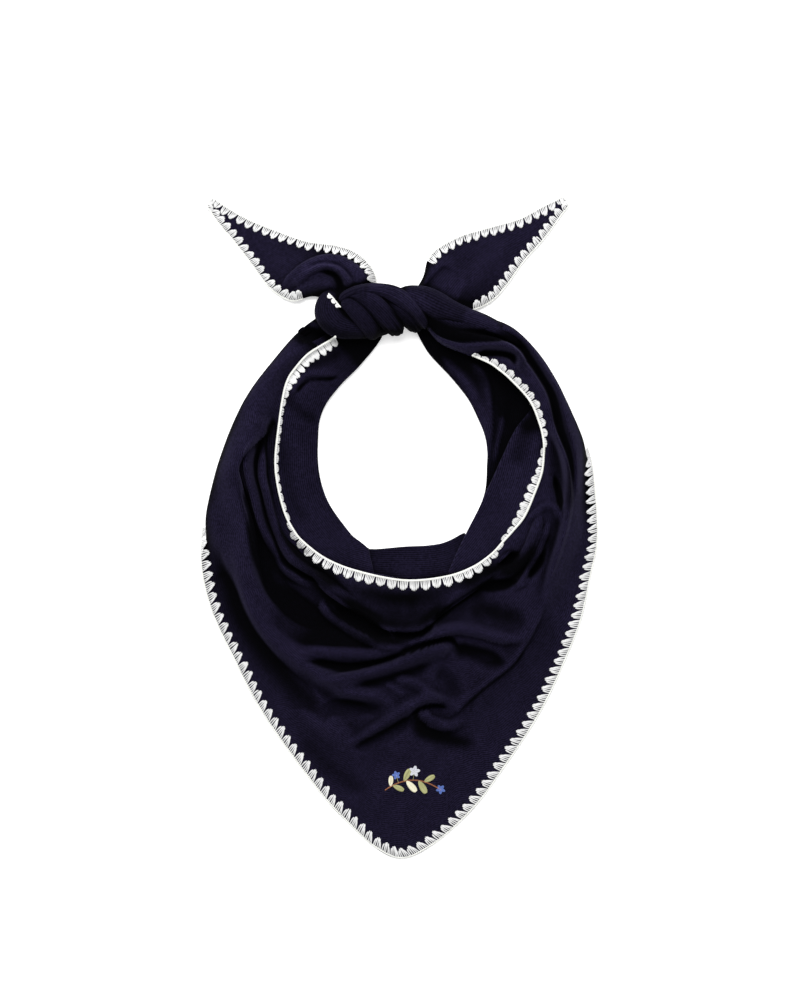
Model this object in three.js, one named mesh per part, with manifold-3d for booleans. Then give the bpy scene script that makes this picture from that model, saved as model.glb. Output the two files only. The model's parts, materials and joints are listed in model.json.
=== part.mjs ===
// Triangle scarf of fine navy knit with a white yarn edging, tied in a knot and laid flat.
// Millimetres, +Z up. It lies on the plane z = 0, with its point towards -Y and its knot towards +Y.
// The origin is under the middle of the whole outline.

import * as THREE from 'three';
import Module from 'manifold-3d';
import { mergeVertices } from 'three/addons/utils/BufferGeometryUtils.js';

const wasm = await Module();
wasm.setup();

// Driving dimensions
const CLOTH_WALL = 2.2;          // knitted cloth, one layer
const BAND_WALL = 3.0;           // the neck band is the same cloth folded double
const STEEPEST_WALL = 2.6;       // how much deeper a wall may be where the cloth stands steeply
const CLOTH_REST = 2.2;          // top of the cloth where it lies flat on the ground
const FAN_PITCH = 10.5;          // one crocheted fan of the edging after another
const FAN_REACH = 10.5;          // how far a fan reaches from the hem onto the cloth
const FAN_GAP_REACH = 2.4;       // what is left of it between two fans
const CORD_HALF = 1.5;           // half the cord that runs along the hem
const EDGING_WALL = 1.8;
const SEAT_GAP = 0.35;           // between the cloth and what is sewn on it
const THREAD_WALL = 0.9;         // embroidery

const NAVY = 0x1c1a31;
const YARN = 0xeeece6;
const OLIVE = 0xa9a67a;

// Rows of a table become objects with the names of its columns.
function table(columns, rows) {
  return rows.map((row) => Object.fromEntries(columns.map((name, i) => [name, row[i]])));
}

// The draped front with its two arms, a row for each section from the left of the knot,
// down and round the point, and up to the right of the knot.
// neckX, neckY: on the neckline. hemX, hemY: opposite it, on the outer edge.
// neck, crest, hem: heights of the cloth. crestAt: place of the crest, 0 neckline to 1 outer edge.
// fallTo: where the cloth has come down flat. roll: 1 where the edge is rolled under, 0 where flat.
// cells: grid cells from this row to the next.
const FRONT = table(
  ['neckX', 'neckY', 'hemX', 'hemY', 'neck', 'crest', 'hem', 'crestAt', 'fallTo', 'roll', 'cells'],
  [
    [-36, 208, -62, 222, 14, 18, 4, 0.50, 1.0, 1, 1],
    [-65, 189, -98, 199, 15, 20, 3, 0.50, 1.0, 1, 1],
    [-93, 172, -130, 163, 16, 25, 3, 0.55, 1.0, 1, 1],
    [-112, 146, -152, 133, 17, 29, 3, 0.60, 1.0, 1, 2],
    [-120, 107, -168, 101, 17, 31, 3, 0.62, 1.0, 1, 2],
    [-124, 70, -181, 66, 17, 31, 3, 0.64, 1.0, 1, 2],
    [-122, 44, -189, 36, 17, 30, 3, 0.66, 1.0, 1, 2],
    [-115, 16, -195, 5, 16, 28, 3, 0.66, 1.0, 0.7, 2],
    [-102, -7, -197, -28, 15, 25, 3, 0.62, 1.0, 0.1, 2],
    [-86, -22, -194, -56, 15, 22, 3, 0.58, 0.97, 0, 2],
    [-66, -36, -185, -88, 15, 19, 2.4, 0.50, 0.92, 0, 3],
    [-42, -43, -167, -124, 15, 17, 2.4, 0.42, 0.86, 0, 4],
    [-22, -46, -137, -180, 15, 16, 2.2, 0.34, 0.80, 0, 4],
    [-8, -49, -96, -240, 15, 15, 2.2, 0.26, 0.74, 0, 3],
    [-2, -51, -54, -292, 15, 15, 2.2, 0.22, 0.70, 0, 3],
    [4, -52, 1, -328, 15, 15, 2.2, 0.20, 0.68, 0, 3],
    [10, -52, 61, -292, 15, 15, 2.2, 0.22, 0.70, 0, 3],
    [18, -51, 103, -240, 15, 15, 2.2, 0.26, 0.74, 0, 4],
    [34, -50, 140, -180, 15, 16, 2.2, 0.34, 0.80, 0, 4],
    [52, -48, 166, -124, 15, 17, 2.4, 0.42, 0.86, 0, 3],
    [72, -38, 180, -88, 15, 19, 2.4, 0.50, 0.92, 0, 2],
    [91, -25, 189, -46, 15, 21, 2.4, 0.56, 0.97, 0, 2],
    [111, -5, 195, -18, 16, 23, 2.6, 0.58, 1.0, 0, 2],
    [124, 12, 197, 10, 17, 25, 2.8, 0.58, 1.0, 0, 2],
    [134, 35, 195, 38, 18, 27, 3, 0.56, 1.0, 0, 2],
    [142, 60, 191, 64, 18, 29, 3, 0.52, 1.0, 0.2, 2],
    [143, 84, 184, 84, 18, 30, 3, 0.50, 1.0, 0.7, 2],
    [139, 105, 176, 105, 18, 30, 3, 0.50, 1.0, 1, 2],
    [129, 127, 166, 127, 18, 30, 3, 0.50, 1.0, 1, 1],
    [110, 148, 155, 149, 18, 30, 3, 0.50, 1.0, 1, 1],
    [86, 166, 137, 176, 18, 30, 3, 0.50, 1.0, 1, 1],
    [60, 175, 112, 200, 18, 30, 4, 0.50, 1.0, 1, 1],
    [40, 184, 82, 212, 20, 31, 6, 0.50, 1.0, 1, 1],
    [25, 200, 52, 223, 22, 32, 8, 0.50, 1.0, 1, 1],
    [12, 210, 26, 233, 24, 32, 12, 0.50, 1.0, 1, 0],
  ],
);
const FRONT_ACROSS = 14;         // grid cells from the neckline to the outer edge

// The neck band inside the neckline, from under the knot and round the opening back to it.
// holeX, holeY: on the edge of the opening. outX, outY: tucked under the front.
// hole, rise: heights of the cloth at the opening and where it meets the front's neckline.
const BAND = table(
  ['holeX', 'holeY', 'outX', 'outY', 'hole', 'rise', 'cells'],
  [
    [-14, 206, -46, 216, 12, 15, 1],
    [-21, 188, -68, 196, 9, 15, 2],
    [-40, 164, -98, 178, 6, 15, 2],
    [-63, 140, -119, 151, 5, 15, 2],
    [-79, 116, -128, 118, 5, 15, 2],
    [-83, 90, -132, 85, 5, 15, 2],
    [-82, 56, -131, 48, 5, 15, 2],
    [-73, 26, -124, 11, 5, 14, 2],
    [-52, -4, -107, -15, 5, 13, 2],
    [-36, -19, -74, -41, 5, 13, 1],
    [-30, -22, -46, -54, 3, 12, 2],
    [2, -20, -2, -62, 3, 12, 2],
    [40, -17, 48, -58, 3, 12, 1],
    [60, -8, 82, -43, 4, 13, 2],
    [75, 9, 114, -12, 5, 14, 2],
    [86, 32, 140, 28, 5, 15, 2],
    [88, 60, 151, 60, 5, 16, 1],
    [88, 80, 151, 86, 5, 16, 2],
    [81, 104, 147, 110, 6, 16, 2],
    [70, 128, 134, 135, 6, 16, 2],
    [51, 152, 104, 163, 7, 16, 2],
    [29, 176, 70, 184, 9, 17, 2],
    [15, 202, 34, 208, 14, 20, 0],
  ],
);
const BAND_ACROSS = 4;
const BAND_TUCK = 5.5;           // how far the band dips where it is tucked under the front

// The folds that stand in the front. height: of the crest, or below zero a hollow.
// left, right: how far it takes to come down on each side, walking along the path. A small
// number is a steep side, as where one fold lies over the next.
const FRONT_FOLDS = [
  { name: 'left arm overlap', height: 8, left: 10, right: 26,
    path: [[-122, 116], [-140, 95], [-156, 74], [-164, 56], [-160, 38], [-152, 8], [-145, -24],
      [-142, -45], [-136, -64], [-124, -82]] },
  { name: 'hollow beside the left arm', height: -8, left: 16, right: 12,
    path: [[-152, 50], [-144, 12], [-136, -28], [-122, -60], [-96, -84], [-70, -98]] },
  { name: 'left inner fold', height: 6, left: 10, right: 10,
    path: [[-136, 84], [-144, 62], [-141, 28], [-134, 2], [-127, -18], [-117, -37], [-98, -51],
      [-76, -62]] },
  { name: 'left long fold', height: 10, left: 15, right: 22,
    path: [[-157, -30], [-150, -66], [-138, -95], [-112, -124], [-80, -149], [-40, -164],
      [0, -179]] },
  { name: 'left long valley', height: -4, left: 16, right: 16,
    path: [[-172, -58], [-160, -90], [-145, -113], [-126, -138], [-92, -166], [-70, -192]] },
  { name: 'edge of the neck shield', height: 5, left: 28, right: 12,
    path: [[-84, -40], [-60, -64], [-36, -84], [-12, -101], [28, -100], [46, -85], [64, -70],
      [88, -52]] },
  { name: 'pocket under the shield', height: -6, left: 12, right: 16,
    path: [[-62, -74], [-42, -94], [-18, -112], [12, -108]] },
  { name: 'upper left fold', height: 6, left: 14, right: 14,
    path: [[-100, -112], [-72, -122], [-46, -127], [-20, -124], [8, -118]] },
  { name: 'middle fold', height: 9, left: 14, right: 18,
    path: [[-80, -144], [-50, -149], [-28, -146], [-8, -138], [16, -129], [50, -117]] },
  { name: 'right cross fold', height: 9, left: 18, right: 14,
    path: [[8, -110], [30, -102], [54, -97], [80, -101], [108, -105], [128, -108]] },
  { name: 'lower middle fold', height: 8, left: 15, right: 15,
    path: [[-54, -213], [-22, -188], [2, -177], [24, -170], [48, -174]] },
  { name: 'crossing fold', height: 7, left: 14, right: 14,
    path: [[16, -178], [32, -193], [58, -200], [80, -197]] },
  { name: 'lower left swell', height: 5, left: 20, right: 20,
    path: [[-112, -150], [-88, -180], [-62, -206], [-32, -236]] },
  { name: 'right long fold', height: 10, left: 13, right: 26,
    path: [[140, 128], [152, 100], [161, 80], [166, 58], [165, 18], [158, -16], [146, -62],
      [136, -92], [118, -125], [88, -155], [62, -176], [36, -191]] },
  { name: 'groove beside the right arm', height: -7, left: 11, right: 10,
    path: [[114, 182], [134, 158], [150, 132], [160, 104], [172, 66], [174, 40], [169, 2],
      [158, -44]] },
  { name: 'right pockets', height: -6, left: 12, right: 12,
    path: [[88, -46], [108, -34], [134, -38]] },
];

// The steps between the folded layers of the neck band.
const BAND_FOLDS = [
  { name: 'end of the left layer', height: 3, left: 6, right: 24,
    path: [[-30, 0], [-33, -21], [-28, -33], [-25, -50]] },
  { name: 'right wide flap', height: 4, left: 26, right: 6,
    path: [[46, -52], [60, -22], [80, 20], [98, 60], [118, 100], [126, 122]] },
  { name: 'left small flap', height: 3, left: 20, right: 6,
    path: [[-108, 138], [-92, 149], [-68, 152], [-56, 168], [-50, 184]] },
];

// The two tied ends, from the knot to the tip. lowX, lowY and highX, highY: the two edges.
// low, crest, high: heights at those edges and between them.
const TAIL_COLUMNS = ['lowX', 'lowY', 'highX', 'highY', 'low', 'crest', 'high', 'cells'];
const TAILS = {
  left: table(TAIL_COLUMNS, [
    [-52, 218, -22, 236, 12, 24, 14, 2],
    [-84, 231, -26, 256, 8, 23, 10, 2],
    [-105, 228, -42, 272, 5, 20, 7, 3],
    [-127, 240, -66, 280, 3, 15, 4, 3],
    [-146, 261, -92, 285, 3, 10, 3, 3],
    [-163, 285, -124, 297, 2.6, 6, 3, 2],
    [-178, 305, -156, 309, 2.4, 3.5, 2.6, 2],
    [-189, 326, -185, 328, 2.4, 2.6, 2.4, 0],
  ]),
  right: table(TAIL_COLUMNS, [
    [46, 214, 12, 232, 10, 20, 12, 2],
    [68, 219, 23, 250, 5, 15, 7, 2],
    [88, 230, 33, 272, 3, 11, 4, 2],
    [105, 248, 58, 289, 2.8, 8, 3, 3],
    [120, 269, 90, 300, 2.6, 6, 2.6, 2],
    [135, 291, 120, 309, 2.4, 4, 2.6, 2],
    [149, 310, 143, 320, 2.4, 3, 2.4, 2],
    [164, 326, 162, 328, 2.4, 2.6, 2.4, 0],
  ]),
};
const TAIL_ACROSS = 5;
const TAIL_FOLDS = {
  left: [
    { name: 'upper roll', height: 5, left: 9, right: 9,
      path: [[-40, 244], [-52, 262], [-75, 267], [-96, 259], [-120, 240]] },
    { name: 'pocket', height: -6, left: 6, right: 6, path: [[-58, 236], [-62, 250], [-78, 256]] },
  ],
  right: [
    { name: 'crease from the knot', height: 3, left: 8, right: 8,
      path: [[16, 236], [32, 254], [48, 266], [76, 276]] },
  ],
};

// The knot, a strand of gathered cloth for each row list. across: half the width of the strand.
// middle: height of its centre line. deep: half its depth.
const STRAND_COLUMNS = ['x', 'y', 'across', 'middle', 'deep'];
const KNOT = {
  leftLobe: table(STRAND_COLUMNS, [
    [-69, 226, 12, 17, 12],
    [-69, 213, 16, 21, 17],
    [-58, 204, 15, 22, 18],
    [-40, 201, 12, 22, 16],
    [-24, 201, 10, 20, 12],
  ]),
  innerWrap: table(STRAND_COLUMNS, [
    [-56, 222, 5, 28, 8],
    [-46, 217, 9, 27, 14],
    [-37, 207, 11, 26, 16],
    [-30, 197, 7, 20, 12],
  ]),
  middleWrap: table(STRAND_COLUMNS, [
    [-50, 228, 5, 29, 8],
    [-34, 225, 9, 29, 15],
    [-19, 214, 12, 28, 17],
    [-8, 203, 10, 22, 13],
    [-3, 196, 6, 16, 8],
  ]),
  topWrap: table(STRAND_COLUMNS, [
    [-56, 229, 4, 26, 6],
    [-38, 234, 8, 27, 14],
    [-15, 231, 10, 28, 18],
    [2, 222, 11, 27, 18],
    [16, 210, 10, 24, 14],
    [22, 203, 6, 19, 8],
  ]),
  rightStrand: table(STRAND_COLUMNS, [
    [2, 236, 5, 26, 10],
    [16, 229, 11, 25, 15],
    [30, 217, 15, 23, 16],
    [46, 208, 16, 21, 14],
    [62, 202, 12, 19, 10],
  ]),
};
const STRAND_SIDES = 9;

// The neckline edging, walking from the left of the knot round to its right. reach: how far the
// fans reach to the left of the path, below zero to its right. Near zero the edge stands on end.
const NECKLINE = table(
  ['x', 'y', 'reach'],
  [
    [-66, 189, 10], [-93, 172, 10], [-106, 157, 9.5], [-112, 147, 9], [-116, 133, 5],
    [-120, 107, 2], [-124, 70, 2], [-122, 44, 2], [-115, 16, 2], [-106, -2, -4], [-96, -14, -8],
    [-73, -31, -10], [-42, -43, -10.5], [4, -52, -10.5], [45, -48.5, -10.5], [72, -39, -9],
    [91, -26, -5], [103, -13, 2], [112, -3, 5], [124, 12, 9], [134, 35, 10], [141, 55, 8],
    [143, 72, 3], [143, 86, -3], [139, 104, -8], [129, 127, -10], [110, 148, -10], [88, 165, -10],
    [74, 171, -9],
  ],
);

// The sprig near the point: a bowed stem with leaves on both sides and three blossoms.
const SPRIG = {
  x: 13,
  y: -257,
  length: 56,
  bow: 10,
  stemHalf: 0.7,
  leafLength: 13,
  leafHalf: 2.6,
  blossomHalf: 4,
};
// along: place on the stem, 0 to 1. side and turn: which way it points off the stem, in radians.
const SPRIG_LEAVES = table(
  ['along', 'side', 'turn', 'size'],
  [
    [0.10, 1, 1.0, 0.8], [0.14, -1, 0.9, 0.9], [0.34, 1, 0.9, 1.0], [0.38, -1, 1.0, 1.1],
    [0.60, -1, 0.9, 1.1], [0.70, 1, 0.8, 0.9],
  ],
);
const SPRIG_BLOSSOMS = table(
  ['along', 'stalk', 'lean', 'size'],
  [[0.24, 8, 1.5, 0.9], [0.50, 9, 1.4, 1.2], [0.96, 2, 0.2, 1.0]],
);

// Smooth step from 0 to 1.
function ease(t) {
  const c = Math.min(1, Math.max(0, t));
  return c * c * (3 - 2 * c);
}

// A smooth curve through the values of one column, read at a row number that may be a fraction.
function columnAt(rows, name, at) {
  const last = rows.length - 1;
  const i = Math.min(last - 1, Math.floor(at));
  const t = at - i;
  const [a, b, c, d] = [i - 1, i, i + 1, i + 2].map((k) => rows[Math.min(last, Math.max(0, k))][name]);
  const start = (c - a) / 2;
  const end = (d - b) / 2;
  return b + t * (start + t * (3 * (c - b) - 2 * start - end + t * (2 * (b - c) + start + end)));
}

function sectionAt(rows, at) {
  return Object.fromEntries(Object.keys(rows[0]).map((name) => [name, columnAt(rows, name, at)]));
}

// The row numbers of a grid's lines, with each row's own number of cells up to the next.
function gridLines(rows) {
  const lines = rows.flatMap((row, i) => Array.from({ length: row.cells }, (_, k) => i + k / row.cells));
  return [...lines, rows.length - 1];
}

// Height that one fold adds at a point: its height at the nearest place of the path, less with
// the distance to the side, and fading over the first and last fifth of the path.
const FOLD_STEPS = 28;
const FOLD_FADE = 0.2;
function foldShape(fold) {
  const curve = new THREE.CatmullRomCurve3(fold.path.map(([x, y]) => new THREE.Vector3(x, y, 0)));
  return { ...fold, points: curve.getSpacedPoints(FOLD_STEPS) };
}

function foldHeight(fold, x, y) {
  let nearest = Infinity;
  let along = 0;
  let side = 1;
  for (let i = 0; i < FOLD_STEPS; i += 1) {
    const a = fold.points[i];
    const b = fold.points[i + 1];
    const dx = b.x - a.x;
    const dy = b.y - a.y;
    const t = Math.min(1, Math.max(0, ((x - a.x) * dx + (y - a.y) * dy) / (dx * dx + dy * dy)));
    const distance = Math.hypot(x - a.x - t * dx, y - a.y - t * dy);
    if (distance < nearest) {
      nearest = distance;
      along = (i + t) / FOLD_STEPS;
      side = Math.sign(dx * (y - a.y) - dy * (x - a.x));
    }
  }
  const reach = side > 0 ? fold.left : fold.right;
  const fade = ease(along / FOLD_FADE) * ease((1 - along) / FOLD_FADE);
  return fold.height * fade * (1 - ease(nearest / reach));
}

function foldsHeight(folds, x, y) {
  return folds.reduce((sum, fold) => sum + foldHeight(fold, x, y), 0);
}

// A closed solid between an upper and a lower grid of points. Seen from above, its columns run to
// the right of the way its rows run. Each cell is parted along its flatter diagonal, so that the
// crest of a fold isn't cut into teeth.
function solidBetween(upper, lower) {
  const rows = upper.length;
  const columns = upper[0].length;
  const positions = [...upper.flat(), ...lower.flat()].flatMap((p) => [p.x, p.y, p.z]);
  const up = (i, j) => i * columns + j;
  const low = (i, j) => rows * columns + i * columns + j;
  const index = [];
  const quad = (a, b, c, d) => index.push(a, c, b, a, d, c);
  for (let i = 0; i + 1 < rows; i += 1) {
    for (let j = 0; j + 1 < columns; j += 1) {
      const across = Math.abs(upper[i][j].z - upper[i + 1][j + 1].z);
      const back = Math.abs(upper[i + 1][j].z - upper[i][j + 1].z);
      if (across < back) {
        quad(up(i, j), up(i + 1, j), up(i + 1, j + 1), up(i, j + 1));
        quad(low(i, j), low(i, j + 1), low(i + 1, j + 1), low(i + 1, j));
      } else {
        quad(up(i + 1, j), up(i + 1, j + 1), up(i, j + 1), up(i, j));
        quad(low(i, j + 1), low(i + 1, j + 1), low(i + 1, j), low(i, j));
      }
    }
  }
  for (let i = 0; i + 1 < rows; i += 1) {
    quad(up(i, 0), low(i, 0), low(i + 1, 0), up(i + 1, 0));
    quad(up(i + 1, columns - 1), low(i + 1, columns - 1), low(i, columns - 1), up(i, columns - 1));
  }
  for (let j = 0; j + 1 < columns; j += 1) {
    quad(up(0, j + 1), low(0, j + 1), low(0, j), up(0, j));
    quad(up(rows - 1, j), low(rows - 1, j), low(rows - 1, j + 1), up(rows - 1, j + 1));
  }
  const geometry = new THREE.BufferGeometry();
  geometry.setAttribute('position', new THREE.Float32BufferAttribute(positions, 3));
  geometry.setIndex(index);
  return geometry;
}

// The same grid one wall lower, deeper where the cloth stands steeply, and never below the ground.
function underside(upper, wall) {
  const within = (i, list) => list[Math.min(list.length - 1, Math.max(0, i))];
  const at = (i, j) => within(j, within(i, upper));
  const slope = (a, b) => Math.abs(a.z - b.z) / Math.max(1, Math.hypot(a.x - b.x, a.y - b.y));
  return upper.map((row, i) => row.map((p, j) => {
    const steep = Math.hypot(slope(at(i + 1, j), at(i - 1, j)), slope(at(i, j + 1), at(i, j - 1)));
    const drop = wall * Math.min(STEEPEST_WALL, Math.hypot(1, steep));
    return new THREE.Vector3(p.x, p.y, Math.max(0, p.z - drop));
  }));
}

function asManifold(geometry) {
  const merged = mergeVertices(geometry);
  const mesh = new wasm.Mesh({
    numProp: 3,
    vertProperties: Float32Array.from(merged.attributes.position.array),
    triVerts: Uint32Array.from(merged.index.array),
  });
  return new wasm.Manifold(mesh);
}

function asGeometry(manifold) {
  const mesh = manifold.getMesh();
  const geometry = new THREE.BufferGeometry();
  geometry.setAttribute('position', new THREE.BufferAttribute(mesh.vertProperties, 3));
  geometry.setIndex(new THREE.BufferAttribute(mesh.triVerts, 1));
  return geometry;
}

// The draped front: across each section the cloth rises from the neckline to a crest, then falls
// either flat to the hem or round to a rolled edge, and the folds are added.
function frontHeight(section, across) {
  const { neck, crest, hem, crestAt, fallTo, roll } = section;
  if (across < crestAt) {
    return neck + (crest - neck) * ease(across / crestAt);
  }
  const fall = (across - crestAt) / (1 - crestAt);
  const flat = hem + (crest - hem) * (1 - ease((across - crestAt) / (fallTo - crestAt)));
  const rolled = hem + (crest - hem) * Math.sqrt(Math.max(0, 1 - fall * fall));
  return flat + (rolled - flat) * roll;
}

// The grid lines crowd towards both edges where the edge is rolled. The folds start and end a
// little way in from the edges.
const EDGE_CROWDING = 0.5;
const NECK_MARGIN = 0.08;
const HEM_MARGIN = 0.1;
function frontGrid() {
  const folds = FRONT_FOLDS.map(foldShape);
  return gridLines(FRONT).map((line) => {
    const section = sectionAt(FRONT, line);
    return Array.from({ length: FRONT_ACROSS + 1 }, (_, j) => {
      const even = j / FRONT_ACROSS;
      const crowded = (1 - Math.cos(Math.PI * even)) / 2;
      const across = even + EDGE_CROWDING * Math.min(1, Math.max(0, section.roll)) * (crowded - even);
      const x = section.neckX + (section.hemX - section.neckX) * across;
      const y = section.neckY + (section.hemY - section.neckY) * across;
      const edge = ease(across / NECK_MARGIN) * ease((1 - across) / HEM_MARGIN);
      const z = frontHeight(section, across) + edge * foldsHeight(folds, x, y);
      return new THREE.Vector3(x, y, Math.max(CLOTH_REST, z));
    });
  });
}

// The neck band: it rises from the edge of the opening to the neckline, and dips under the front.
const BAND_RISEN = 0.8;          // where across the band it has reached its full height
function bandGrid() {
  const folds = BAND_FOLDS.map(foldShape);
  return gridLines(BAND).map((line) => {
    const section = sectionAt(BAND, line);
    return Array.from({ length: BAND_ACROSS + 1 }, (_, j) => {
      const across = j / BAND_ACROSS;
      const x = section.holeX + (section.outX - section.holeX) * across;
      const y = section.holeY + (section.outY - section.holeY) * across;
      const tuck = j === BAND_ACROSS ? BAND_TUCK : 0;
      const rise = section.hole + (section.rise - section.hole) * ease(across / BAND_RISEN);
      return new THREE.Vector3(x, y, rise - tuck + (1 - across) * foldsHeight(folds, x, y));
    });
  });
}

// A tied end: a sheet that bows up between its two edges.
function tailGrid(rows, folds, mirrored) {
  const shapes = folds.map(foldShape);
  const lines = gridLines(rows).map((line) => {
    const section = sectionAt(rows, line);
    return Array.from({ length: TAIL_ACROSS + 1 }, (_, j) => {
      const across = j / TAIL_ACROSS;
      const x = section.lowX + (section.highX - section.lowX) * across;
      const y = section.lowY + (section.highY - section.lowY) * across;
      const edge = section.low + (section.high - section.low) * across;
      const bow = Math.sin(Math.PI * across);
      const z = edge + bow * (section.crest - edge + foldsHeight(shapes, x, y));
      return new THREE.Vector3(x, y, Math.max(CLOTH_REST, z));
    });
  });
  return mirrored ? lines.reverse() : lines;
}

// A strand of the knot: rings of an oval section along its centre line, closed by its end rings.
function strandSolid(rows) {
  const lines = Array.from({ length: 2 * rows.length - 1 }, (_, i) => i / 2);
  const centres = lines.map((line) => sectionAt(rows, line));
  const last = centres.length - 1;
  const positions = centres.flatMap((centre, i) => {
    const before = centres[Math.max(0, i - 1)];
    const after = centres[Math.min(last, i + 1)];
    const length = Math.hypot(after.x - before.x, after.y - before.y);
    const sideX = -(after.y - before.y) / length;
    const sideY = (after.x - before.x) / length;
    return Array.from({ length: STRAND_SIDES }, (_, k) => {
      const angle = (2 * Math.PI * k) / STRAND_SIDES;
      const out = centre.across * Math.cos(angle);
      return [centre.x + out * sideX, centre.y + out * sideY, centre.middle + centre.deep * Math.sin(angle)];
    }).flat();
  });
  const index = [];
  const ring = (i, k) => i * STRAND_SIDES + (k % STRAND_SIDES);
  for (let i = 0; i < last; i += 1) {
    for (let k = 0; k < STRAND_SIDES; k += 1) {
      index.push(ring(i, k), ring(i, k + 1), ring(i + 1, k + 1));
      index.push(ring(i, k), ring(i + 1, k + 1), ring(i + 1, k));
    }
  }
  for (let k = 1; k + 1 < STRAND_SIDES; k += 1) {
    index.push(ring(0, 0), ring(0, k + 1), ring(0, k));
    index.push(ring(last, 0), ring(last, k), ring(last, k + 1));
  }
  const geometry = new THREE.BufferGeometry();
  geometry.setAttribute('position', new THREE.Float32BufferAttribute(positions, 3));
  geometry.setIndex(index);
  return geometry;
}

// The whole cloth in one piece. Joining can close off a pocket inside it: each closed-off pocket
// is a separate inside-out shell, and only the outer shell is kept.
function clothSolid() {
  const front = frontGrid();
  const band = bandGrid();
  const left = tailGrid(TAILS.left, TAIL_FOLDS.left, false);
  const right = tailGrid(TAILS.right, TAIL_FOLDS.right, true);
  const sheets = [
    solidBetween(front, underside(front, CLOTH_WALL)),
    solidBetween(band, underside(band, BAND_WALL)),
    solidBetween(left, underside(left, BAND_WALL)),
    solidBetween(right, underside(right, BAND_WALL)),
    ...Object.values(KNOT).map(strandSolid),
  ];
  const joined = sheets.map(asManifold).reduce((sum, piece) => sum.add(piece));
  const shells = joined.decompose().sort((a, b) => b.volume() - a.volume());
  return asGeometry(shells[0]);
}

// The height of the topmost face of a solid over any place, looked up in square buckets.
const BUCKET = 12;
const UPRIGHT_FACE_AREA = 1e-9;  // a face that covers less than this seen from above is upright
function heightLookup(geometry) {
  const position = geometry.attributes.position;
  const index = geometry.index.array;
  const buckets = new Map();
  for (let f = 0; f < index.length; f += 3) {
    const corners = [0, 1, 2].map((k) => new THREE.Vector3().fromBufferAttribute(position, index[f + k]));
    const xs = corners.map((c) => Math.floor(c.x / BUCKET));
    const ys = corners.map((c) => Math.floor(c.y / BUCKET));
    for (let i = Math.min(...xs); i <= Math.max(...xs); i += 1) {
      for (let j = Math.min(...ys); j <= Math.max(...ys); j += 1) {
        const key = `${i},${j}`;
        buckets.set(key, [...(buckets.get(key) ?? []), corners]);
      }
    }
  }
  return (x, y) => {
    const faces = buckets.get(`${Math.floor(x / BUCKET)},${Math.floor(y / BUCKET)}`) ?? [];
    let top = -Infinity;
    for (const [a, b, c] of faces) {
      const area = (b.x - a.x) * (c.y - a.y) - (b.y - a.y) * (c.x - a.x);
      if (Math.abs(area) > UPRIGHT_FACE_AREA) {
        const s = ((x - a.x) * (c.y - a.y) - (y - a.y) * (c.x - a.x)) / area;
        const t = ((b.x - a.x) * (y - a.y) - (b.y - a.y) * (x - a.x)) / area;
        if (s >= 0 && t >= 0 && s + t <= 1) {
          top = Math.max(top, a.z + s * (b.z - a.z) + t * (c.z - a.z));
        }
      }
    }
    return top;
  };
}

// Lifts a grid of points until every place of every cell is a seat gap above the cloth.
const LIFT_SAMPLES = 6;
const LIFT_PASSES = 3;
function seatOnCloth(grid, clothTop) {
  const lifts = grid.map((row) => row.map((p) => {
    const under = clothTop(p.x, p.y);
    return under === -Infinity ? null : under + SEAT_GAP;
  }));
  grid.forEach((row, i) => row.forEach((p, j) => {
    const neighbours = [lifts[i][j], ...lifts[i]].filter((z) => z !== null);
    p.z = lifts[i][j] ?? (neighbours.length > 0 ? Math.min(...neighbours) : CLOTH_REST);
  }));
  for (let pass = 0; pass < LIFT_PASSES; pass += 1) {
    for (let i = 0; i + 1 < grid.length; i += 1) {
      for (let j = 0; j + 1 < grid[0].length; j += 1) {
        liftCell([grid[i][j], grid[i + 1][j], grid[i + 1][j + 1], grid[i][j + 1]], clothTop);
      }
    }
  }
}

// A cell may be parted along either diagonal, so all four triangles are tried.
function liftCell([a, b, c, d], clothTop) {
  [[a, b, c], [a, c, d], [b, c, d], [b, d, a]].forEach((corners) => {
    let need = 0;
    for (let m = 0; m <= LIFT_SAMPLES; m += 1) {
      for (let n = 0; n <= LIFT_SAMPLES - m; n += 1) {
        const weights = [m, n, LIFT_SAMPLES - m - n].map((w) => w / LIFT_SAMPLES);
        const mix = (axis) => corners.reduce((sum, p, k) => sum + weights[k] * p[axis], 0);
        need = Math.max(need, clothTop(mix('x'), mix('y')) + SEAT_GAP - mix('z'));
      }
    }
    corners.forEach((p) => { p.z += need; });
  });
}

function raised(grid, by) {
  return grid.map((row) => row.map((p) => new THREE.Vector3(p.x, p.y, p.z + by)));
}

// Edging along a hem: a strip from the cord to the fans, two stations for each fan, one at its
// tip and one at the gap. The path is a list of { x, y, reach }.
function edgingSolid(path, clothTop) {
  const curve = new THREE.CatmullRomCurve3(path.map((p) => new THREE.Vector3(p.x, p.y, p.reach)));
  const fans = Math.round(curve.getLength() / FAN_PITCH);
  const stations = 2 * fans;
  const places = curve.getSpacedPoints(stations);
  const grid = places.map((place, i) => {
    const before = places[Math.max(0, i - 1)];
    const after = places[Math.min(stations, i + 1)];
    const length = Math.hypot(after.x - before.x, after.y - before.y);
    const leftX = -(after.y - before.y) / length;
    const leftY = (after.x - before.x) / length;
    const size = i % 2 === 1 ? Math.abs(place.z) : Math.min(Math.abs(place.z), FAN_GAP_REACH);
    const left = place.z > 0 ? Math.max(CORD_HALF, size) : CORD_HALF;
    const right = place.z > 0 ? CORD_HALF : Math.max(CORD_HALF, size);
    return [
      new THREE.Vector3(place.x + left * leftX, place.y + left * leftY, 0),
      new THREE.Vector3(place.x - right * leftX, place.y - right * leftY, 0),
    ];
  });
  seatOnCloth(grid, clothTop);
  return solidBetween(raised(grid, EDGING_WALL), grid);
}

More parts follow.
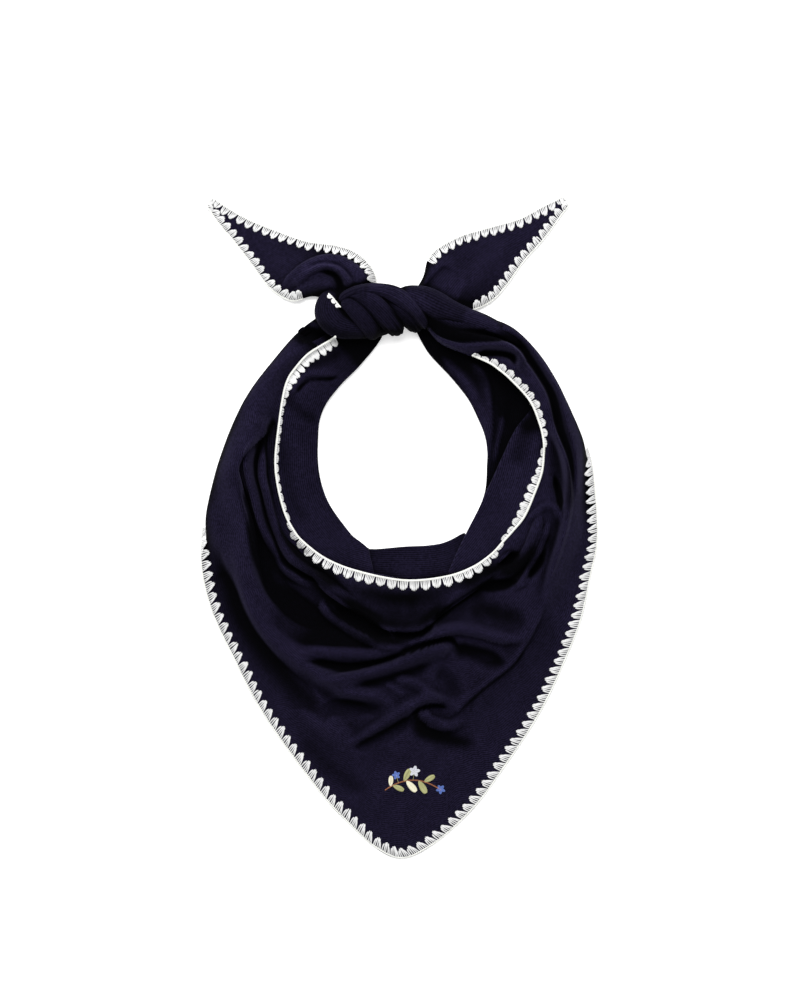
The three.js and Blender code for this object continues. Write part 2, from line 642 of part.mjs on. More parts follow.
// The hem of the front between two rows, as a path for its edging. The first and last fans come
// out from under the rolled arms, so less of them shows.
const HEM_STEPS = 2;             // points of a hem's path for each row of its table
const HEM_EMERGE = 0.08;
function frontHem(from, to) {
  const steps = Math.ceil((to - from) * HEM_STEPS);
  return Array.from({ length: steps + 1 }, (_, i) => {
    const share = i / steps;
    const section = sectionAt(FRONT, from + (to - from) * share);
    const shown = ease(share / HEM_EMERGE) * ease((1 - share) / HEM_EMERGE);
    return { x: section.hemX, y: section.hemY, reach: CORD_HALF + (FAN_REACH - CORD_HALF) * shown };
  });
}

// The hem of a tied end as one path: out along one edge, round the tip and back along the other.
// The fans get shorter where the tip is narrow. side: 1 where they lie to the left of the path.
const TIP_SHARE = 0.38;
function tailHem(rows, edges, from, side) {
  const last = rows.length - 1;
  const steps = Math.ceil((last - from) * HEM_STEPS);
  const [out, back] = edges.map((edge) => Array.from({ length: steps + 1 }, (_, i) => {
    const section = sectionAt(rows, from + ((last - from) * i) / steps);
    const width = Math.hypot(section.lowX - section.highX, section.lowY - section.highY);
    const reach = side * Math.min(FAN_REACH, TIP_SHARE * width + CORD_HALF);
    return { x: section[`${edge}X`], y: section[`${edge}Y`], reach };
  }));
  return [...out, ...back.reverse()];
}

// A flat patch of embroidery laid on the cloth. rows: its left and right points, along its length.
function patchSolid(rows, clothTop) {
  seatOnCloth(rows, clothTop);
  return solidBetween(raised(rows, THREAD_WALL), rows);
}

// A place on the sprig's bowed stem, and the angle of the stem there.
function stemAt(along) {
  const x = SPRIG.x + SPRIG.length * (along - 0.5);
  const y = SPRIG.y + SPRIG.bow * (4 * along * (1 - along) - 0.5);
  return { x, y, angle: Math.atan2(SPRIG.bow * 4 * (1 - 2 * along), SPRIG.length) };
}

// Rows of two points, left and right of a straight line from a root, as wide as the widths say.
function patchRows(root, angle, length, widths) {
  return widths.map((half, i) => {
    const u = (length * i) / (widths.length - 1);
    return [half, -half].map((v) => new THREE.Vector3(
      root.x + u * Math.cos(angle) - v * Math.sin(angle),
      root.y + u * Math.sin(angle) + v * Math.cos(angle),
      0,
    ));
  });
}

// Stem, leaves and blossoms, each blossom on a short stalk, all in one piece.
const STEM_CELLS = 5;
const LEAF_WIDTHS = [0.3, 1, 0.9, 0.15];
const BLOSSOM_WIDTHS = [0.45, 1, 1, 0.45];
function sprigSolid(clothTop) {
  const stem = Array.from({ length: STEM_CELLS + 1 }, (_, i) => {
    const place = stemAt(i / STEM_CELLS);
    return [1, -1].map((side) => new THREE.Vector3(
      place.x - side * SPRIG.stemHalf * Math.sin(place.angle),
      place.y + side * SPRIG.stemHalf * Math.cos(place.angle),
      0,
    ));
  });
  const leaves = SPRIG_LEAVES.map(({ along, side, turn, size }) => {
    const root = stemAt(along);
    const widths = LEAF_WIDTHS.map((share) => share * size * SPRIG.leafHalf);
    return patchRows(root, root.angle + side * turn, size * SPRIG.leafLength, widths);
  });
  const blossoms = SPRIG_BLOSSOMS.flatMap(({ along, stalk, lean, size }) => {
    const root = stemAt(along);
    const angle = root.angle + lean;
    const radius = size * SPRIG.blossomHalf;
    const tip = { x: root.x + stalk * Math.cos(angle), y: root.y + stalk * Math.sin(angle) };
    return [
      patchRows(root, angle, stalk + radius, [SPRIG.stemHalf, SPRIG.stemHalf]),
      patchRows(tip, angle, 2 * radius, BLOSSOM_WIDTHS.map((share) => share * radius)),
    ];
  });
  const patches = [stem, ...leaves, ...blossoms].map((rows) => asManifold(patchSolid(rows, clothTop)));
  return asGeometry(patches.reduce((sum, patch) => sum.add(patch)));
}

function named(name, geometry, colour, roughness) {
  const material = new THREE.MeshStandardMaterial({ color: colour, roughness, metalness: 0 });
  const mesh = new THREE.Mesh(geometry, material);
  mesh.name = name;
  return mesh;
}

const group = new THREE.Group();
const cloth = clothSolid();
const clothTop = heightLookup(cloth);
group.add(named('scarf_cloth', cloth, NAVY, 0.95));

// Row numbers of the tables where the edging comes out from under a roll or the knot
const LEFT_TRIM_START = 7.15;
const RIGHT_TRIM_END = 25.85;
const LEFT_TAIL_TRIM_START = 1.1;
const RIGHT_TAIL_TRIM_START = 1;
const EDGINGS = [
  ['edging_sides', frontHem(LEFT_TRIM_START, RIGHT_TRIM_END)],
  ['edging_neckline', NECKLINE],
  ['edging_left_tail', tailHem(TAILS.left, ['high', 'low'], LEFT_TAIL_TRIM_START, 1)],
  ['edging_right_tail', tailHem(TAILS.right, ['low', 'high'], RIGHT_TAIL_TRIM_START, 1)],
];
EDGINGS.forEach(([name, path]) => group.add(named(name, edgingSolid(path, clothTop), YARN, 0.8)));
group.add(named('embroidery_sprig', sprigSolid(clothTop), OLIVE, 0.6));

export default group;
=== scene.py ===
"""Triangle scarf of fine navy knit with a white yarn edging, tied in a knot and laid flat.

It lies on the plane z = 0 with its point towards -Y and its knot towards +Y. Its shapes are worked
out in millimetres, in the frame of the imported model, and place_piece puts them into the scene in
metres. Camera and lights are in metres.
"""

import json
import logging
from dataclasses import dataclass, field
from enum import Enum
from math import pi

import bpy
import numpy as np
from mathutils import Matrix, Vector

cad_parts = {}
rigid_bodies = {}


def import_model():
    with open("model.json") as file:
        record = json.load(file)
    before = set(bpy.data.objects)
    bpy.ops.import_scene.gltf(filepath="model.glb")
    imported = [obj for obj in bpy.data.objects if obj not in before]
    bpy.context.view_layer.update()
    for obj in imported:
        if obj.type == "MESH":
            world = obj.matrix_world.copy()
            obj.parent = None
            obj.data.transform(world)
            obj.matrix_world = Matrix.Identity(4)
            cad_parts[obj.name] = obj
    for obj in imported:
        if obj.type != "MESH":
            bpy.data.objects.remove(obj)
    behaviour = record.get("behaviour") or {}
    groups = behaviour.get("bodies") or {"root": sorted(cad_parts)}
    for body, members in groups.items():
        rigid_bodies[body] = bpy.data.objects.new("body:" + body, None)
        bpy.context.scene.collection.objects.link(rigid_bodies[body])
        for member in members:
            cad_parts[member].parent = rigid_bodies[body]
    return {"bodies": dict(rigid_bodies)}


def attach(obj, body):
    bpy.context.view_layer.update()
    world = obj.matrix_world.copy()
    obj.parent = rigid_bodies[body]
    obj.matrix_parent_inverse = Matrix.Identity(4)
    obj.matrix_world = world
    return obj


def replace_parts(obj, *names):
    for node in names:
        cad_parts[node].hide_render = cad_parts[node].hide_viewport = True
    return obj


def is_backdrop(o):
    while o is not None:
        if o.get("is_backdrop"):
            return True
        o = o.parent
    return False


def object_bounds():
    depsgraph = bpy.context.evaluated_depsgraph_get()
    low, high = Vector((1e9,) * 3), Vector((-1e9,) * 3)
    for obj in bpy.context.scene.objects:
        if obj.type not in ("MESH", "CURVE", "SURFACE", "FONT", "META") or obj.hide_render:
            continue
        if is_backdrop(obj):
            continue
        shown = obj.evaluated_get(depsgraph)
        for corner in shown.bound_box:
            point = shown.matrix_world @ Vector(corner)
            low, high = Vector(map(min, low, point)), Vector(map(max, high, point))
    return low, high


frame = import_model()

METRES = 0.001          # one millimetre of a shape in the scene
FINE_STEPS = 24         # places for each row of a table, to find equal lengths of a curve
LENGTH_STEPS = 20       # places for each row, to measure a curve
TINY = 1e-9             # stands in for a length of zero in a division
BODY = next(iter(frame["bodies"]))
LOG = logging.getLogger("scarf")

Points = np.ndarray


def ease(share: Points) -> Points:
    """Smooth step from 0 to 1: 3 s squared less 2 s cubed, held level outside."""
    held = np.clip(share, 0.0, 1.0)
    return held * held * (3.0 - 2.0 * held)


def rows_at(rows: Points, places: Points) -> Points:
    """A smooth curve through the rows of a table, row number by row number.

    Each column is a cubic between two rows whose slope at a row is half the difference between
    the rows on both sides of it.

    Args:
        rows: the table, one row for each section or point.
        places: row numbers, with fractions between two rows.

    Returns:
        One row of values for each place.
    """
    last = len(rows) - 1
    first = np.clip(np.floor(places).astype(int), 0, last - 1)
    t = (places - first)[:, None]
    a, b, c, d = (rows[np.clip(first + step, 0, last)] for step in (-1, 0, 1, 2))
    start = (c - a) / 2
    end = (d - b) / 2
    return b + t * (start + t * (3 * (c - b) - 2 * start - end + t * (2 * (b - c) + start + end)))


def places_by_length(points: Points, count: int) -> Points:
    """Row numbers that part the curve through the points into equal lengths.

    Args:
        points: x and y of each row.
        count: how many places.

    Returns:
        Row numbers from 0 to the last row.
    """
    fine_places = np.linspace(0, len(points) - 1, FINE_STEPS * len(points))
    fine = rows_at(points, fine_places)
    length = np.r_[0, np.cumsum(np.linalg.norm(np.diff(fine, axis=0), axis=1))]
    return np.interp(np.linspace(0, length[-1], count), length, fine_places)


def curve_through(points: Points, count: int) -> Points:
    """The curve through the points, at evenly spaced places measured by its first two columns."""
    table = np.asarray(points, float)
    return rows_at(table, places_by_length(table[:, :2], count))


def curve_length(points: Points) -> float:
    """Length of the curve through the points, seen from above."""
    line = curve_through(points, LENGTH_STEPS * len(points))
    return float(np.linalg.norm(np.diff(line[:, :2], axis=0), axis=1).sum())


def unit(vectors: Points) -> Points:
    """The vectors with length one."""
    length = np.linalg.norm(vectors, axis=-1, keepdims=True)
    return vectors / np.maximum(length, TINY)


def grid_normals(grid: Points) -> Points:
    """Upward normals of a grid: the cross product of its two directions at each point."""
    normals = unit(np.cross(np.gradient(grid, axis=0), np.gradient(grid, axis=1)))
    return normals if normals[..., 2].mean() > 0 else -normals


@dataclass
class Shape:
    """A mesh before it is put into the scene: points in millimetres, faces of four corners."""

    points: Points
    faces: Points
    uv: Points
    finish_index: Points | None = None


def joined(shapes: list[Shape]) -> Shape:
    """All the shapes as one, in their order."""
    starts = np.cumsum([0] + [len(shape.points) for shape in shapes[:-1]])
    marks = [
        np.zeros(len(shape.faces), int) if shape.finish_index is None else shape.finish_index
        for shape in shapes
    ]
    return Shape(
        np.concatenate([shape.points for shape in shapes]),
        np.concatenate([shape.faces + start for shape, start in zip(shapes, starts)]),
        np.concatenate([shape.uv for shape in shapes]),
        np.concatenate(marks),
    )


def grid_faces(index: Points, turned: bool) -> Points:
    """The four-cornered faces of a grid of vertex numbers, the other way round if turned."""
    corners = [index[:-1, :-1], index[1:, :-1], index[1:, 1:], index[:-1, 1:]]
    if turned:
        corners.reverse()
    return np.stack(corners, axis=-1).reshape(-1, 4)


def grid_uv(grid: Points) -> Points:
    """Places on the flat cloth in metres: length along the grid, the mean of all its lines, and
    length across it, line by line, measured from the middle."""
    along = np.linalg.norm(np.diff(grid, axis=0), axis=2).mean(axis=1)
    across = np.linalg.norm(np.diff(grid, axis=1), axis=2)
    u = np.r_[0, np.cumsum(along)]
    v = np.concatenate([np.zeros((len(grid), 1)), np.cumsum(across, axis=1)], axis=1)
    v -= v[:, -1:] / 2
    return np.stack([np.broadcast_to(u[:, None], v.shape), v], axis=-1) * METRES


def closed_sheet(top: Points, wall: float) -> Shape:
    """A sheet of cloth with both its faces and a rounded rim, closed all round.

    The lower face is the upper one moved against its normals by the wall, never below the
    ground. The rim has one more line half way down, pushed out by half the wall.

    Args:
        top: grid of points of the upper face.
        wall: thickness of the cloth.

    Returns:
        The closed shape, with the places on the flat cloth as its UV.
    """
    rows, columns = top.shape[:2]
    normals = grid_normals(top)
    below = top - normals * wall
    below[..., 2] = np.maximum(below[..., 2], 0.0)
    count = rows * columns
    index = np.arange(count).reshape(rows, columns)
    loop = np.concatenate([index[:-1, 0], index[-1, :-1], index[:0:-1, -1], index[0, :0:-1]])
    row, column = np.divmod(loop, columns)
    inner = np.clip(row, 1, rows - 2) * columns + np.clip(column, 1, columns - 2)
    flat_top = top.reshape(-1, 3)
    flat_below = below.reshape(-1, 3)
    outward = unit((flat_top[loop] - flat_top[inner]) * [1, 1, 0])
    middle = (flat_top[loop] + flat_below[loop]) / 2 + outward * wall / 2
    turned = np.cross(np.gradient(top, axis=0), np.gradient(top, axis=1))[..., 2].mean() < 0
    ring = 2 * count + np.arange(len(loop))
    bands = [np.stack([upper, np.roll(upper, -1)]) for upper in (loop, ring, loop + count)]
    rims = [
        grid_faces(np.stack([np.append(high[0], high[0][0]), np.append(low[0], low[0][0])]), turned)
        for high, low in zip(bands[:-1], bands[1:])
    ]
    uv = grid_uv(top).reshape(-1, 2)
    return Shape(
        np.concatenate([flat_top, flat_below, middle]),
        np.concatenate([grid_faces(index, turned), grid_faces(index + count, not turned), *rims]),
        np.concatenate([uv, uv, uv[loop]]),
    )


def tubes(
    paths: Points, wide: Points, deep: Points, sides: int, swell: Points | float = 1.0
) -> Shape:
    """Closed tubes along several paths at once.

    Each ring stands square to its path: side is level and square to the path, and rise is square
    to both. A point of the ring is the centre + wide cos(angle) side + deep sin(angle) rise.

    Args:
        paths: (tube, station, xyz).
        wide: half widths, one for each station of each tube.
        deep: half depths, likewise.
        sides: corners of a ring, an even number.
        swell: factor on the ring's size, for grooves along a tube.

    Returns:
        All the tubes as one shape. Its UV is the length along and the way round, in metres.
    """
    count, stations = paths.shape[:2]
    tangent = unit(np.gradient(paths, axis=1))
    side = unit(np.cross([0.0, 0.0, 1.0], tangent))
    rise = np.cross(tangent, side)
    angle = 2 * pi * np.arange(sides) / sides
    ring = (
        (wide[..., None] * np.cos(angle) * swell)[..., None] * side[:, :, None]
        + (deep[..., None] * np.sin(angle) * swell)[..., None] * rise[:, :, None]
    )
    points = paths[:, :, None] + ring
    index = np.arange(count * stations * sides).reshape(count, stations, sides)
    here, there = index[:, :-1], index[:, 1:]
    walls = np.stack([here, np.roll(here, -1, 2), np.roll(there, -1, 2), there], axis=-1)
    first = np.arange(1, sides - 1, 2)
    fan = np.stack([np.zeros_like(first), first, first + 1, first + 2], axis=-1)
    ends = [index[:, 0][:, fan[:, ::-1]], index[:, -1][:, fan]]
    steps = np.linalg.norm(np.diff(paths, axis=1), axis=2)
    along = np.concatenate([np.zeros((count, 1)), np.cumsum(steps, axis=1)], axis=1)
    round_it = (wide.mean() + deep.mean()) / 2 * angle
    uv = np.stack(np.broadcast_arrays(along[:, :, None], round_it[None, None]), axis=-1) * METRES
    faces = [part.reshape(-1, 4) for part in (walls, *ends)]
    return Shape(points.reshape(-1, 3), np.concatenate(faces), uv.reshape(-1, 2))


def place_piece(
    name: str, shape: Shape, finishes: list[bpy.types.Material]
) -> bpy.types.Object:
    """Puts a shape into the scene as a smooth mesh that rides on the scarf.

    Args:
        name: the piece's name.
        shape: points in millimetres, with faces and UV.
        finishes: its materials, picked by the shape's finish_index.

    Returns:
        The object, at the origin, with its place in its mesh.
    """
    mesh = bpy.data.meshes.new(name)
    faces = shape.faces.astype(np.int32)
    mesh.vertices.add(len(shape.points))
    mesh.vertices.foreach_set("co", (shape.points * METRES).astype(np.float32).ravel())
    mesh.loops.add(faces.size)
    mesh.loops.foreach_set("vertex_index", faces.ravel())
    mesh.polygons.add(len(faces))
    mesh.polygons.foreach_set("loop_start", np.arange(0, faces.size, 4, dtype=np.int32))
    mesh.polygons.foreach_set("use_smooth", np.ones(len(faces), bool))
    for finish in finishes:
        mesh.materials.append(finish)
    if shape.finish_index is not None:
        mesh.polygons.foreach_set("material_index", shape.finish_index.astype(np.int32))
    layer = mesh.uv_layers.new(name="cloth")
    layer.data.foreach_set("uv", shape.uv[faces.ravel()].astype(np.float32).ravel())
    mesh.update(calc_edges=True)
    mesh.validate()
    piece = bpy.data.objects.new(name, mesh)
    bpy.context.scene.collection.objects.link(piece)
    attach(piece, BODY)
    LOG.info("%s: %d faces", name, len(faces))
    return piece


class Side(Enum):
    """How a fold comes down from its crest to one side."""

    SOFT = "soft"
    ROLL = "roll"
    SHARP = "sharp"

    def share(self, distance: Points) -> Points:
        """Share of the height at a distance, given in reaches: soft is a smooth step down, roll
        is a quarter circle, sharp is a square that is steepest at the crest."""
        held = np.clip(distance, 0.0, 1.0)
        if self is Side.ROLL:
            return np.sqrt(1.0 - held * held)
        if self is Side.SHARP:
            return (1.0 - held) ** 2
        return 1.0 - ease(held)


@dataclass(frozen=True)
class Fold:
    """A fold that stands in the cloth, or below zero a crease or hollow.

    height is at the crest, and left and right say how far it reaches to each side, walking along
    the path. lean moves the crest to the left, so that it hangs over what lies beside it. It
    grows over the first share of the path given by start, and goes down over the last, end, and
    it is narrower there.
    """

    name: str
    height: float
    left: float
    right: float
    path: tuple[tuple[float, float], ...]
    left_side: Side = Side.SOFT
    right_side: Side = Side.SOFT
    lean: float = 0.0
    start: float = 0.2
    end: float = 0.2

    STEPS = 40
    NARROWEST = 0.4             # of the reaches, at both ends

    def add_to(self, grid: Points, held: Points) -> None:
        """Raises a grid of points by this fold, and leans them.

        Each point takes the height at the nearest place of the path, times the share that its
        side gives at its distance, times the growth there. The reaches are multiplied by the
        narrowest and the rest of 1 times the growth.

        Args:
            grid: the points, changed in place.
            held: factor for each point, 0 where the cloth is held down.
        """
        line = curve_through(self.path, self.STEPS)
        reach = max(self.left, self.right)
        x, y = grid[..., 0], grid[..., 1]
        near = (
            (x > line[:, 0].min() - reach) & (x < line[:, 0].max() + reach)
            & (y > line[:, 1].min() - reach) & (y < line[:, 1].max() + reach)
        )
        spots = np.stack([x[near], y[near]], axis=-1)[:, None]
        start, step = line[None, :-1], np.diff(line, axis=0)[None]
        t = np.clip(((spots - start) * step).sum(-1) / (step * step).sum(-1), 0, 1)
        gap = spots - start - t[..., None] * step
        distance = np.linalg.norm(gap, axis=-1)
        best = distance.argmin(axis=1)
        pick = np.arange(len(best))
        ahead = unit(step[0])[best]
        side = ahead[:, 0] * gap[pick, best, 1] - ahead[:, 1] * gap[pick, best, 0]
        along = (best + t[pick, best]) / (self.STEPS - 1)
        grown = ease(along / self.start) * ease((1 - along) / self.end)
        away = distance[pick, best] / (self.NARROWEST + (1 - self.NARROWEST) * grown)
        share = np.where(
            side > 0, self.left_side.share(away / self.left),
            self.right_side.share(away / self.right),
        )
        growth = grown * share * held[near]
        grid[near, 2] += self.height * growth
        if self.lean:
            grid[near, 0] -= self.lean * growth * ahead[:, 1]
            grid[near, 1] += self.lean * growth * ahead[:, 0]


@dataclass(frozen=True)
class Ripple:
    """Gentle unevenness of cloth: a sum of plane waves in random directions."""

    height: float
    seed: int
    size: float                 # the usual length of a wave in millimetres
    waves: int = 14
    shortest: float = 0.6       # length of a wave, as a share of the size
    longest: float = 1.8

    def at(self, x: Points, y: Points) -> Points:
        """Heights at places. Half the sum over the square root of the count is nearly always
        between -1 and 1, and is multiplied by the height."""
        draw = np.random.default_rng(self.seed)
        total = np.zeros_like(x)
        for _ in range(self.waves):
            way = draw.uniform(0, 2 * pi)
            length = self.size * draw.uniform(self.shortest, self.longest)
            along = x * np.cos(way) + y * np.sin(way)
            total += np.sin(along * 2 * pi / length + draw.uniform(0, 2 * pi))
        return self.height * (total / np.sqrt(self.waves) / 2)


@dataclass(frozen=True)
class Grain:
    """Noise in a material: its scale in waves a metre, its detail and what it counts for."""

    scale: float
    detail: float
    share: float


class Shader:
    """Short ways to build the node tree of a material."""

    def __init__(self, name: str) -> None:
        """Starts a material with an empty tree, a shader and an output."""
        self.material = bpy.data.materials.new(name)
        self.material.use_nodes = True
        self.tree = self.material.node_tree
        self.tree.nodes.clear()
        self.principled = self.node("ShaderNodeBsdfPrincipled")
        output = self.node("ShaderNodeOutputMaterial")
        self.join(self.principled.outputs["BSDF"], output.inputs["Surface"])

    def node(self, kind: str, **settings: object) -> bpy.types.Node:
        """A new node, with its own settings or the values of its inputs by name."""
        made = self.tree.nodes.new(kind)
        for key, value in settings.items():
            if hasattr(made, key):
                setattr(made, key, value)
            else:
                made.inputs[key].default_value = value
        return made

    def join(self, source: bpy.types.NodeSocket, target: bpy.types.NodeSocket) -> None:
        """Links an output to an input."""
        self.tree.links.new(source, target)

    def maths(self, operation: str, *values: object) -> bpy.types.NodeSocket:
        """One step of arithmetic on sockets or plain numbers."""
        made = self.node("ShaderNodeMath", operation=operation)
        for slot, value in zip(made.inputs, values):
            if isinstance(value, bpy.types.NodeSocket):
                self.join(value, slot)
            else:
                slot.default_value = value
        return made.outputs[0]

    def cloth_axes(self) -> tuple[bpy.types.NodeSocket, bpy.types.NodeSocket]:
        """Metres along and across the piece, from its UV."""
        split = self.node("ShaderNodeSeparateXYZ")
        uv = self.node("ShaderNodeUVMap", uv_map="cloth").outputs["UV"]
        self.join(uv, split.inputs[0])
        return split.outputs["X"], split.outputs["Y"]

    def noise(self, grain: Grain) -> bpy.types.NodeSocket:
        """Noise over the object's own space, between 0 and the grain's share."""
        made = self.node("ShaderNodeTexNoise", Scale=grain.scale, Detail=grain.detail)
        place = self.node("ShaderNodeTexCoord").outputs["Object"]
        self.join(place, made.inputs["Vector"])
        return self.maths("MULTIPLY", made.outputs["Fac"], grain.share)

    def ramp(self, value: bpy.types.NodeSocket, low: tuple, high: tuple) -> bpy.types.NodeSocket:
        """A colour from low to high, each given as (place, colour)."""
        made = self.node("ShaderNodeValToRGB")
        for stop, (place, colour) in zip(made.color_ramp.elements, (low, high)):
            stop.position = place
            stop.color = (*colour, 1.0)
        self.join(value, made.inputs["Fac"])
        return made.outputs["Color"]

    def bump(self, height: bpy.types.NodeSocket, strength: float, distance: float) -> None:
        """Bumps the surface by a height, in metres at full strength."""
        made = self.node("ShaderNodeBump", Strength=strength, Distance=distance)
        self.join(height, made.inputs["Height"])
        self.join(made.outputs["Normal"], self.principled.inputs["Normal"])

    def set(self, **values: object) -> None:
        """Sets sockets of the shader by name, with _ for a space."""
        for key, value in values.items():
            self.principled.inputs[key.replace("_", " ")].default_value = value


@dataclass(frozen=True)
class KnitFinish:
    """Fine wool knit: ribs of little V stitches, a matt fuzz of fibres and a slightly uneven navy,
    with painted shade in the grooves between the ribs and in the hollows of each piece, and painted
    light on its crests.
    """

    dark: tuple[float, float, float] = (0.0018, 0.0014, 0.0045)
    light: tuple[float, float, float] = (0.0137, 0.0109, 0.0300)
    darkest: float = 0.15       # tone that has the dark colour
    lightest: float = 0.85      # tone that has the light one
    rib: float = 0.0021         # metres from one wale to the next
    stitch: float = 0.0016      # metres from one course to the next
    slant: float = 2.6          # of the V, in radians of the wave along the rib
    wale_power: float = 0.6     # below 1 the ribs are fuller than a half wave
    course_depth: float = 0.22  # of the stitches, as a share of the rib's height
    loop_share: float = 0.55    # of ribs and stitches in the bump
    bump_strength: float = 0.55
    bump_depth: float = 0.0005
    rib_power: float = 1.5      # above 1 the painted shade in the grooves between the ribs is wide
    rib_share: float = 0.44     # of the ribs in the tone: painted shade in the grooves between them
    tone_shift: float = 0.38
    # the fibres that stand up from the knit, in the bump only; the attribute of the same name holds the
    # painted shade and light
    nap: Grain = Grain(1500.0, 3.0, 0.6)
    dye: Grain = Grain(55.0, 4.0, 0.25)
    fibres: Grain = Grain(480.0, 2.0, 0.9)
    roughness: float = 0.95
    specular: float = 0.04
    # the sheen weight is multiplied by the piece's painted shade and light, so it is painted stronger on
    # the crests
    sheen: float = 0.06
    sheen_roughness: float = 0.45
    sheen_tint: tuple[float, float, float, float] = (0.50, 0.45, 0.85, 1.0)

    def material(self) -> bpy.types.Material:
        """The stitch height is a rib's half wave times a wave along it whose phase grows away
        from the rib's middle, which draws the V. Noise adds the fuzz of fibres and the uneven dye. The
        colour is painted darker in the grooves between the ribs, and it is multiplied by the piece's
        painted shade and light, which the sheen weight is multiplied by too."""
        s = Shader("navy_knit")
        along, across = s.cloth_axes()
        wale = s.maths("ABSOLUTE", s.maths("SINE", s.maths("MULTIPLY", across, pi / self.rib)))
        phase = s.maths("MULTIPLY", along, 2 * pi / self.stitch)
        course = s.maths("SINE", s.maths("ADD", phase, s.maths("MULTIPLY", wale, self.slant)))
        rise = s.maths("MULTIPLY_ADD", course, self.course_depth, 1 - self.course_depth)
        loops = s.maths("MULTIPLY", s.maths("POWER", wale, self.wale_power), rise)
        height = s.maths("ADD", s.maths("MULTIPLY", loops, self.loop_share), s.noise(self.nap))
        s.bump(height, self.bump_strength, self.bump_depth)
        # painted shade: the colour is darker in the grooves between the ribs
        ribs = s.maths("MULTIPLY", s.maths("POWER", wale, self.rib_power), self.rib_share)
        uneven = s.maths("ADD", s.noise(self.dye), s.noise(self.fibres))
        tone = s.maths("SUBTRACT", s.maths("ADD", uneven, ribs), self.tone_shift)
        colour = s.ramp(tone, (self.darkest, self.dark), (self.lightest, self.light))
        # painted shade and light of the piece: darker in its hollows, lighter on its crests
        nap_open = s.node("ShaderNodeAttribute", attribute_name="nap").outputs["Fac"]
        scaled = s.node("ShaderNodeVectorMath", operation="SCALE")
        s.join(colour, scaled.inputs[0])
        s.join(nap_open, scaled.inputs["Scale"])
        s.join(scaled.outputs[0], s.principled.inputs["Base Color"])
        # painted highlight: the sheen is stronger where the painted light is
        s.join(s.maths("MULTIPLY", nap_open, self.sheen), s.principled.inputs["Sheen Weight"])
        s.set(Roughness=self.roughness, Specular_IOR_Level=self.specular)
        s.set(Sheen_Roughness=self.sheen_roughness, Sheen_Tint=self.sheen_tint)
        return s.material


@dataclass(frozen=True)
class YarnFinish:
    """Soft twisted yarn: slanting fibres along each strand and a matt, slightly uneven colour, with
    painted shade in the grooves between the plies.
    """

    name: str
    dark: tuple[float, float, float]
    light: tuple[float, float, float]
    darkest: float = 0.25       # tone that has the dark colour
    lightest: float = 0.75      # tone that has the light one
    twist: float = 0.0016       # metres along the strand from one ply to the next
    ply_depth: float = 0.2
    ply_middle: float = 0.3
    bump_strength: float = 0.5
    bump_depth: float = 0.0003
    height_share: float = 0.6   # of plies and fuzz in the tone: painted shade in the grooves between the plies
    fuzz: Grain = Grain(2600.0, 3.0, 0.5)
    mottle: Grain = Grain(160.0, 2.0, 0.5)
    roughness: float = 0.85
    specular: float = 0.25
    sheen: float = 0.15

    def material(self) -> bpy.types.Material:
        """The ply is a wave along the strand whose phase also grows round it."""
        s = Shader(self.name)
        slant = s.maths("ADD", *s.cloth_axes())
        ply = s.maths("SINE", s.maths("MULTIPLY", slant, 2 * pi / self.twist))
        plies = s.maths("MULTIPLY_ADD", ply, self.ply_depth, self.ply_middle)
        height = s.maths("ADD", plies, s.noise(self.fuzz))
        s.bump(height, self.bump_strength, self.bump_depth)
        # painted shade: darker where the plies and fuzz are low
        shade = s.maths("MULTIPLY", height, self.height_share)
        tone = s.maths("ADD", shade, s.noise(self.mottle))
        colour = s.ramp(tone, (self.darkest, self.dark), (self.lightest, self.light))
        s.join(colour, s.principled.inputs["Base Color"])
        s.set(Roughness=self.roughness, Specular_IOR_Level=self.specular, Sheen_Weight=self.sheen)
        return s.material


class Thread(Enum):
    """The colours of the embroidery threads, dark and light."""

    OLIVE = ((0.20, 0.20, 0.075), (0.42, 0.42, 0.20))
    CREAM = ((0.56, 0.52, 0.36), (0.80, 0.77, 0.60))
    BLUE = ((0.045, 0.085, 0.30), (0.12, 0.20, 0.52))
    GREY = ((0.44, 0.45, 0.50), (0.70, 0.71, 0.76))
    RUST = ((0.23, 0.075, 0.03), (0.42, 0.16, 0.07))

    def material(self) -> bpy.types.Material:
        """Embroidery thread of this colour, smoother than yarn."""
        dark, light = self.value
        name = f"thread_{self.name.lower()}"
        return YarnFinish(name, dark, light, twist=0.0009, roughness=0.5, sheen=0.1).material()


@dataclass(frozen=True)
class FloorFinish:
    """Plain pale floor."""

    colour: tuple[float, float, float] = (0.97, 0.97, 0.97)
    glow: float = 0.42              # light from below, as of a light table
    roughness: float = 0.9
    specular: float = 0.1

    def material(self) -> bpy.types.Material:
        """Matt, with no pattern."""
        s = Shader("pale_floor")
        colour = (*self.colour, 1.0)
        s.set(Base_Color=colour, Roughness=self.roughness, Specular_IOR_Level=self.specular)
        s.set(Emission_Color=colour, Emission_Strength=self.glow)
        return s.material


# Heights of the cloth seen from above

# painted shade and light of the knit, from its relief: size of the bell curve and depth that
# counts as 1, in millimetres, and share of the relief
RELIEF = ((3.5, 4.5, 0.40), (12.0, 10.0, 0.45), (30.0, 12.0, 0.45))
MOST_RELIEF = 1.2           # of each of them, both ways
HIGHEST = 0.5
LOWEST = -0.82
HOLLOW_POWER = 1.6
CREST_GAIN = 0.4


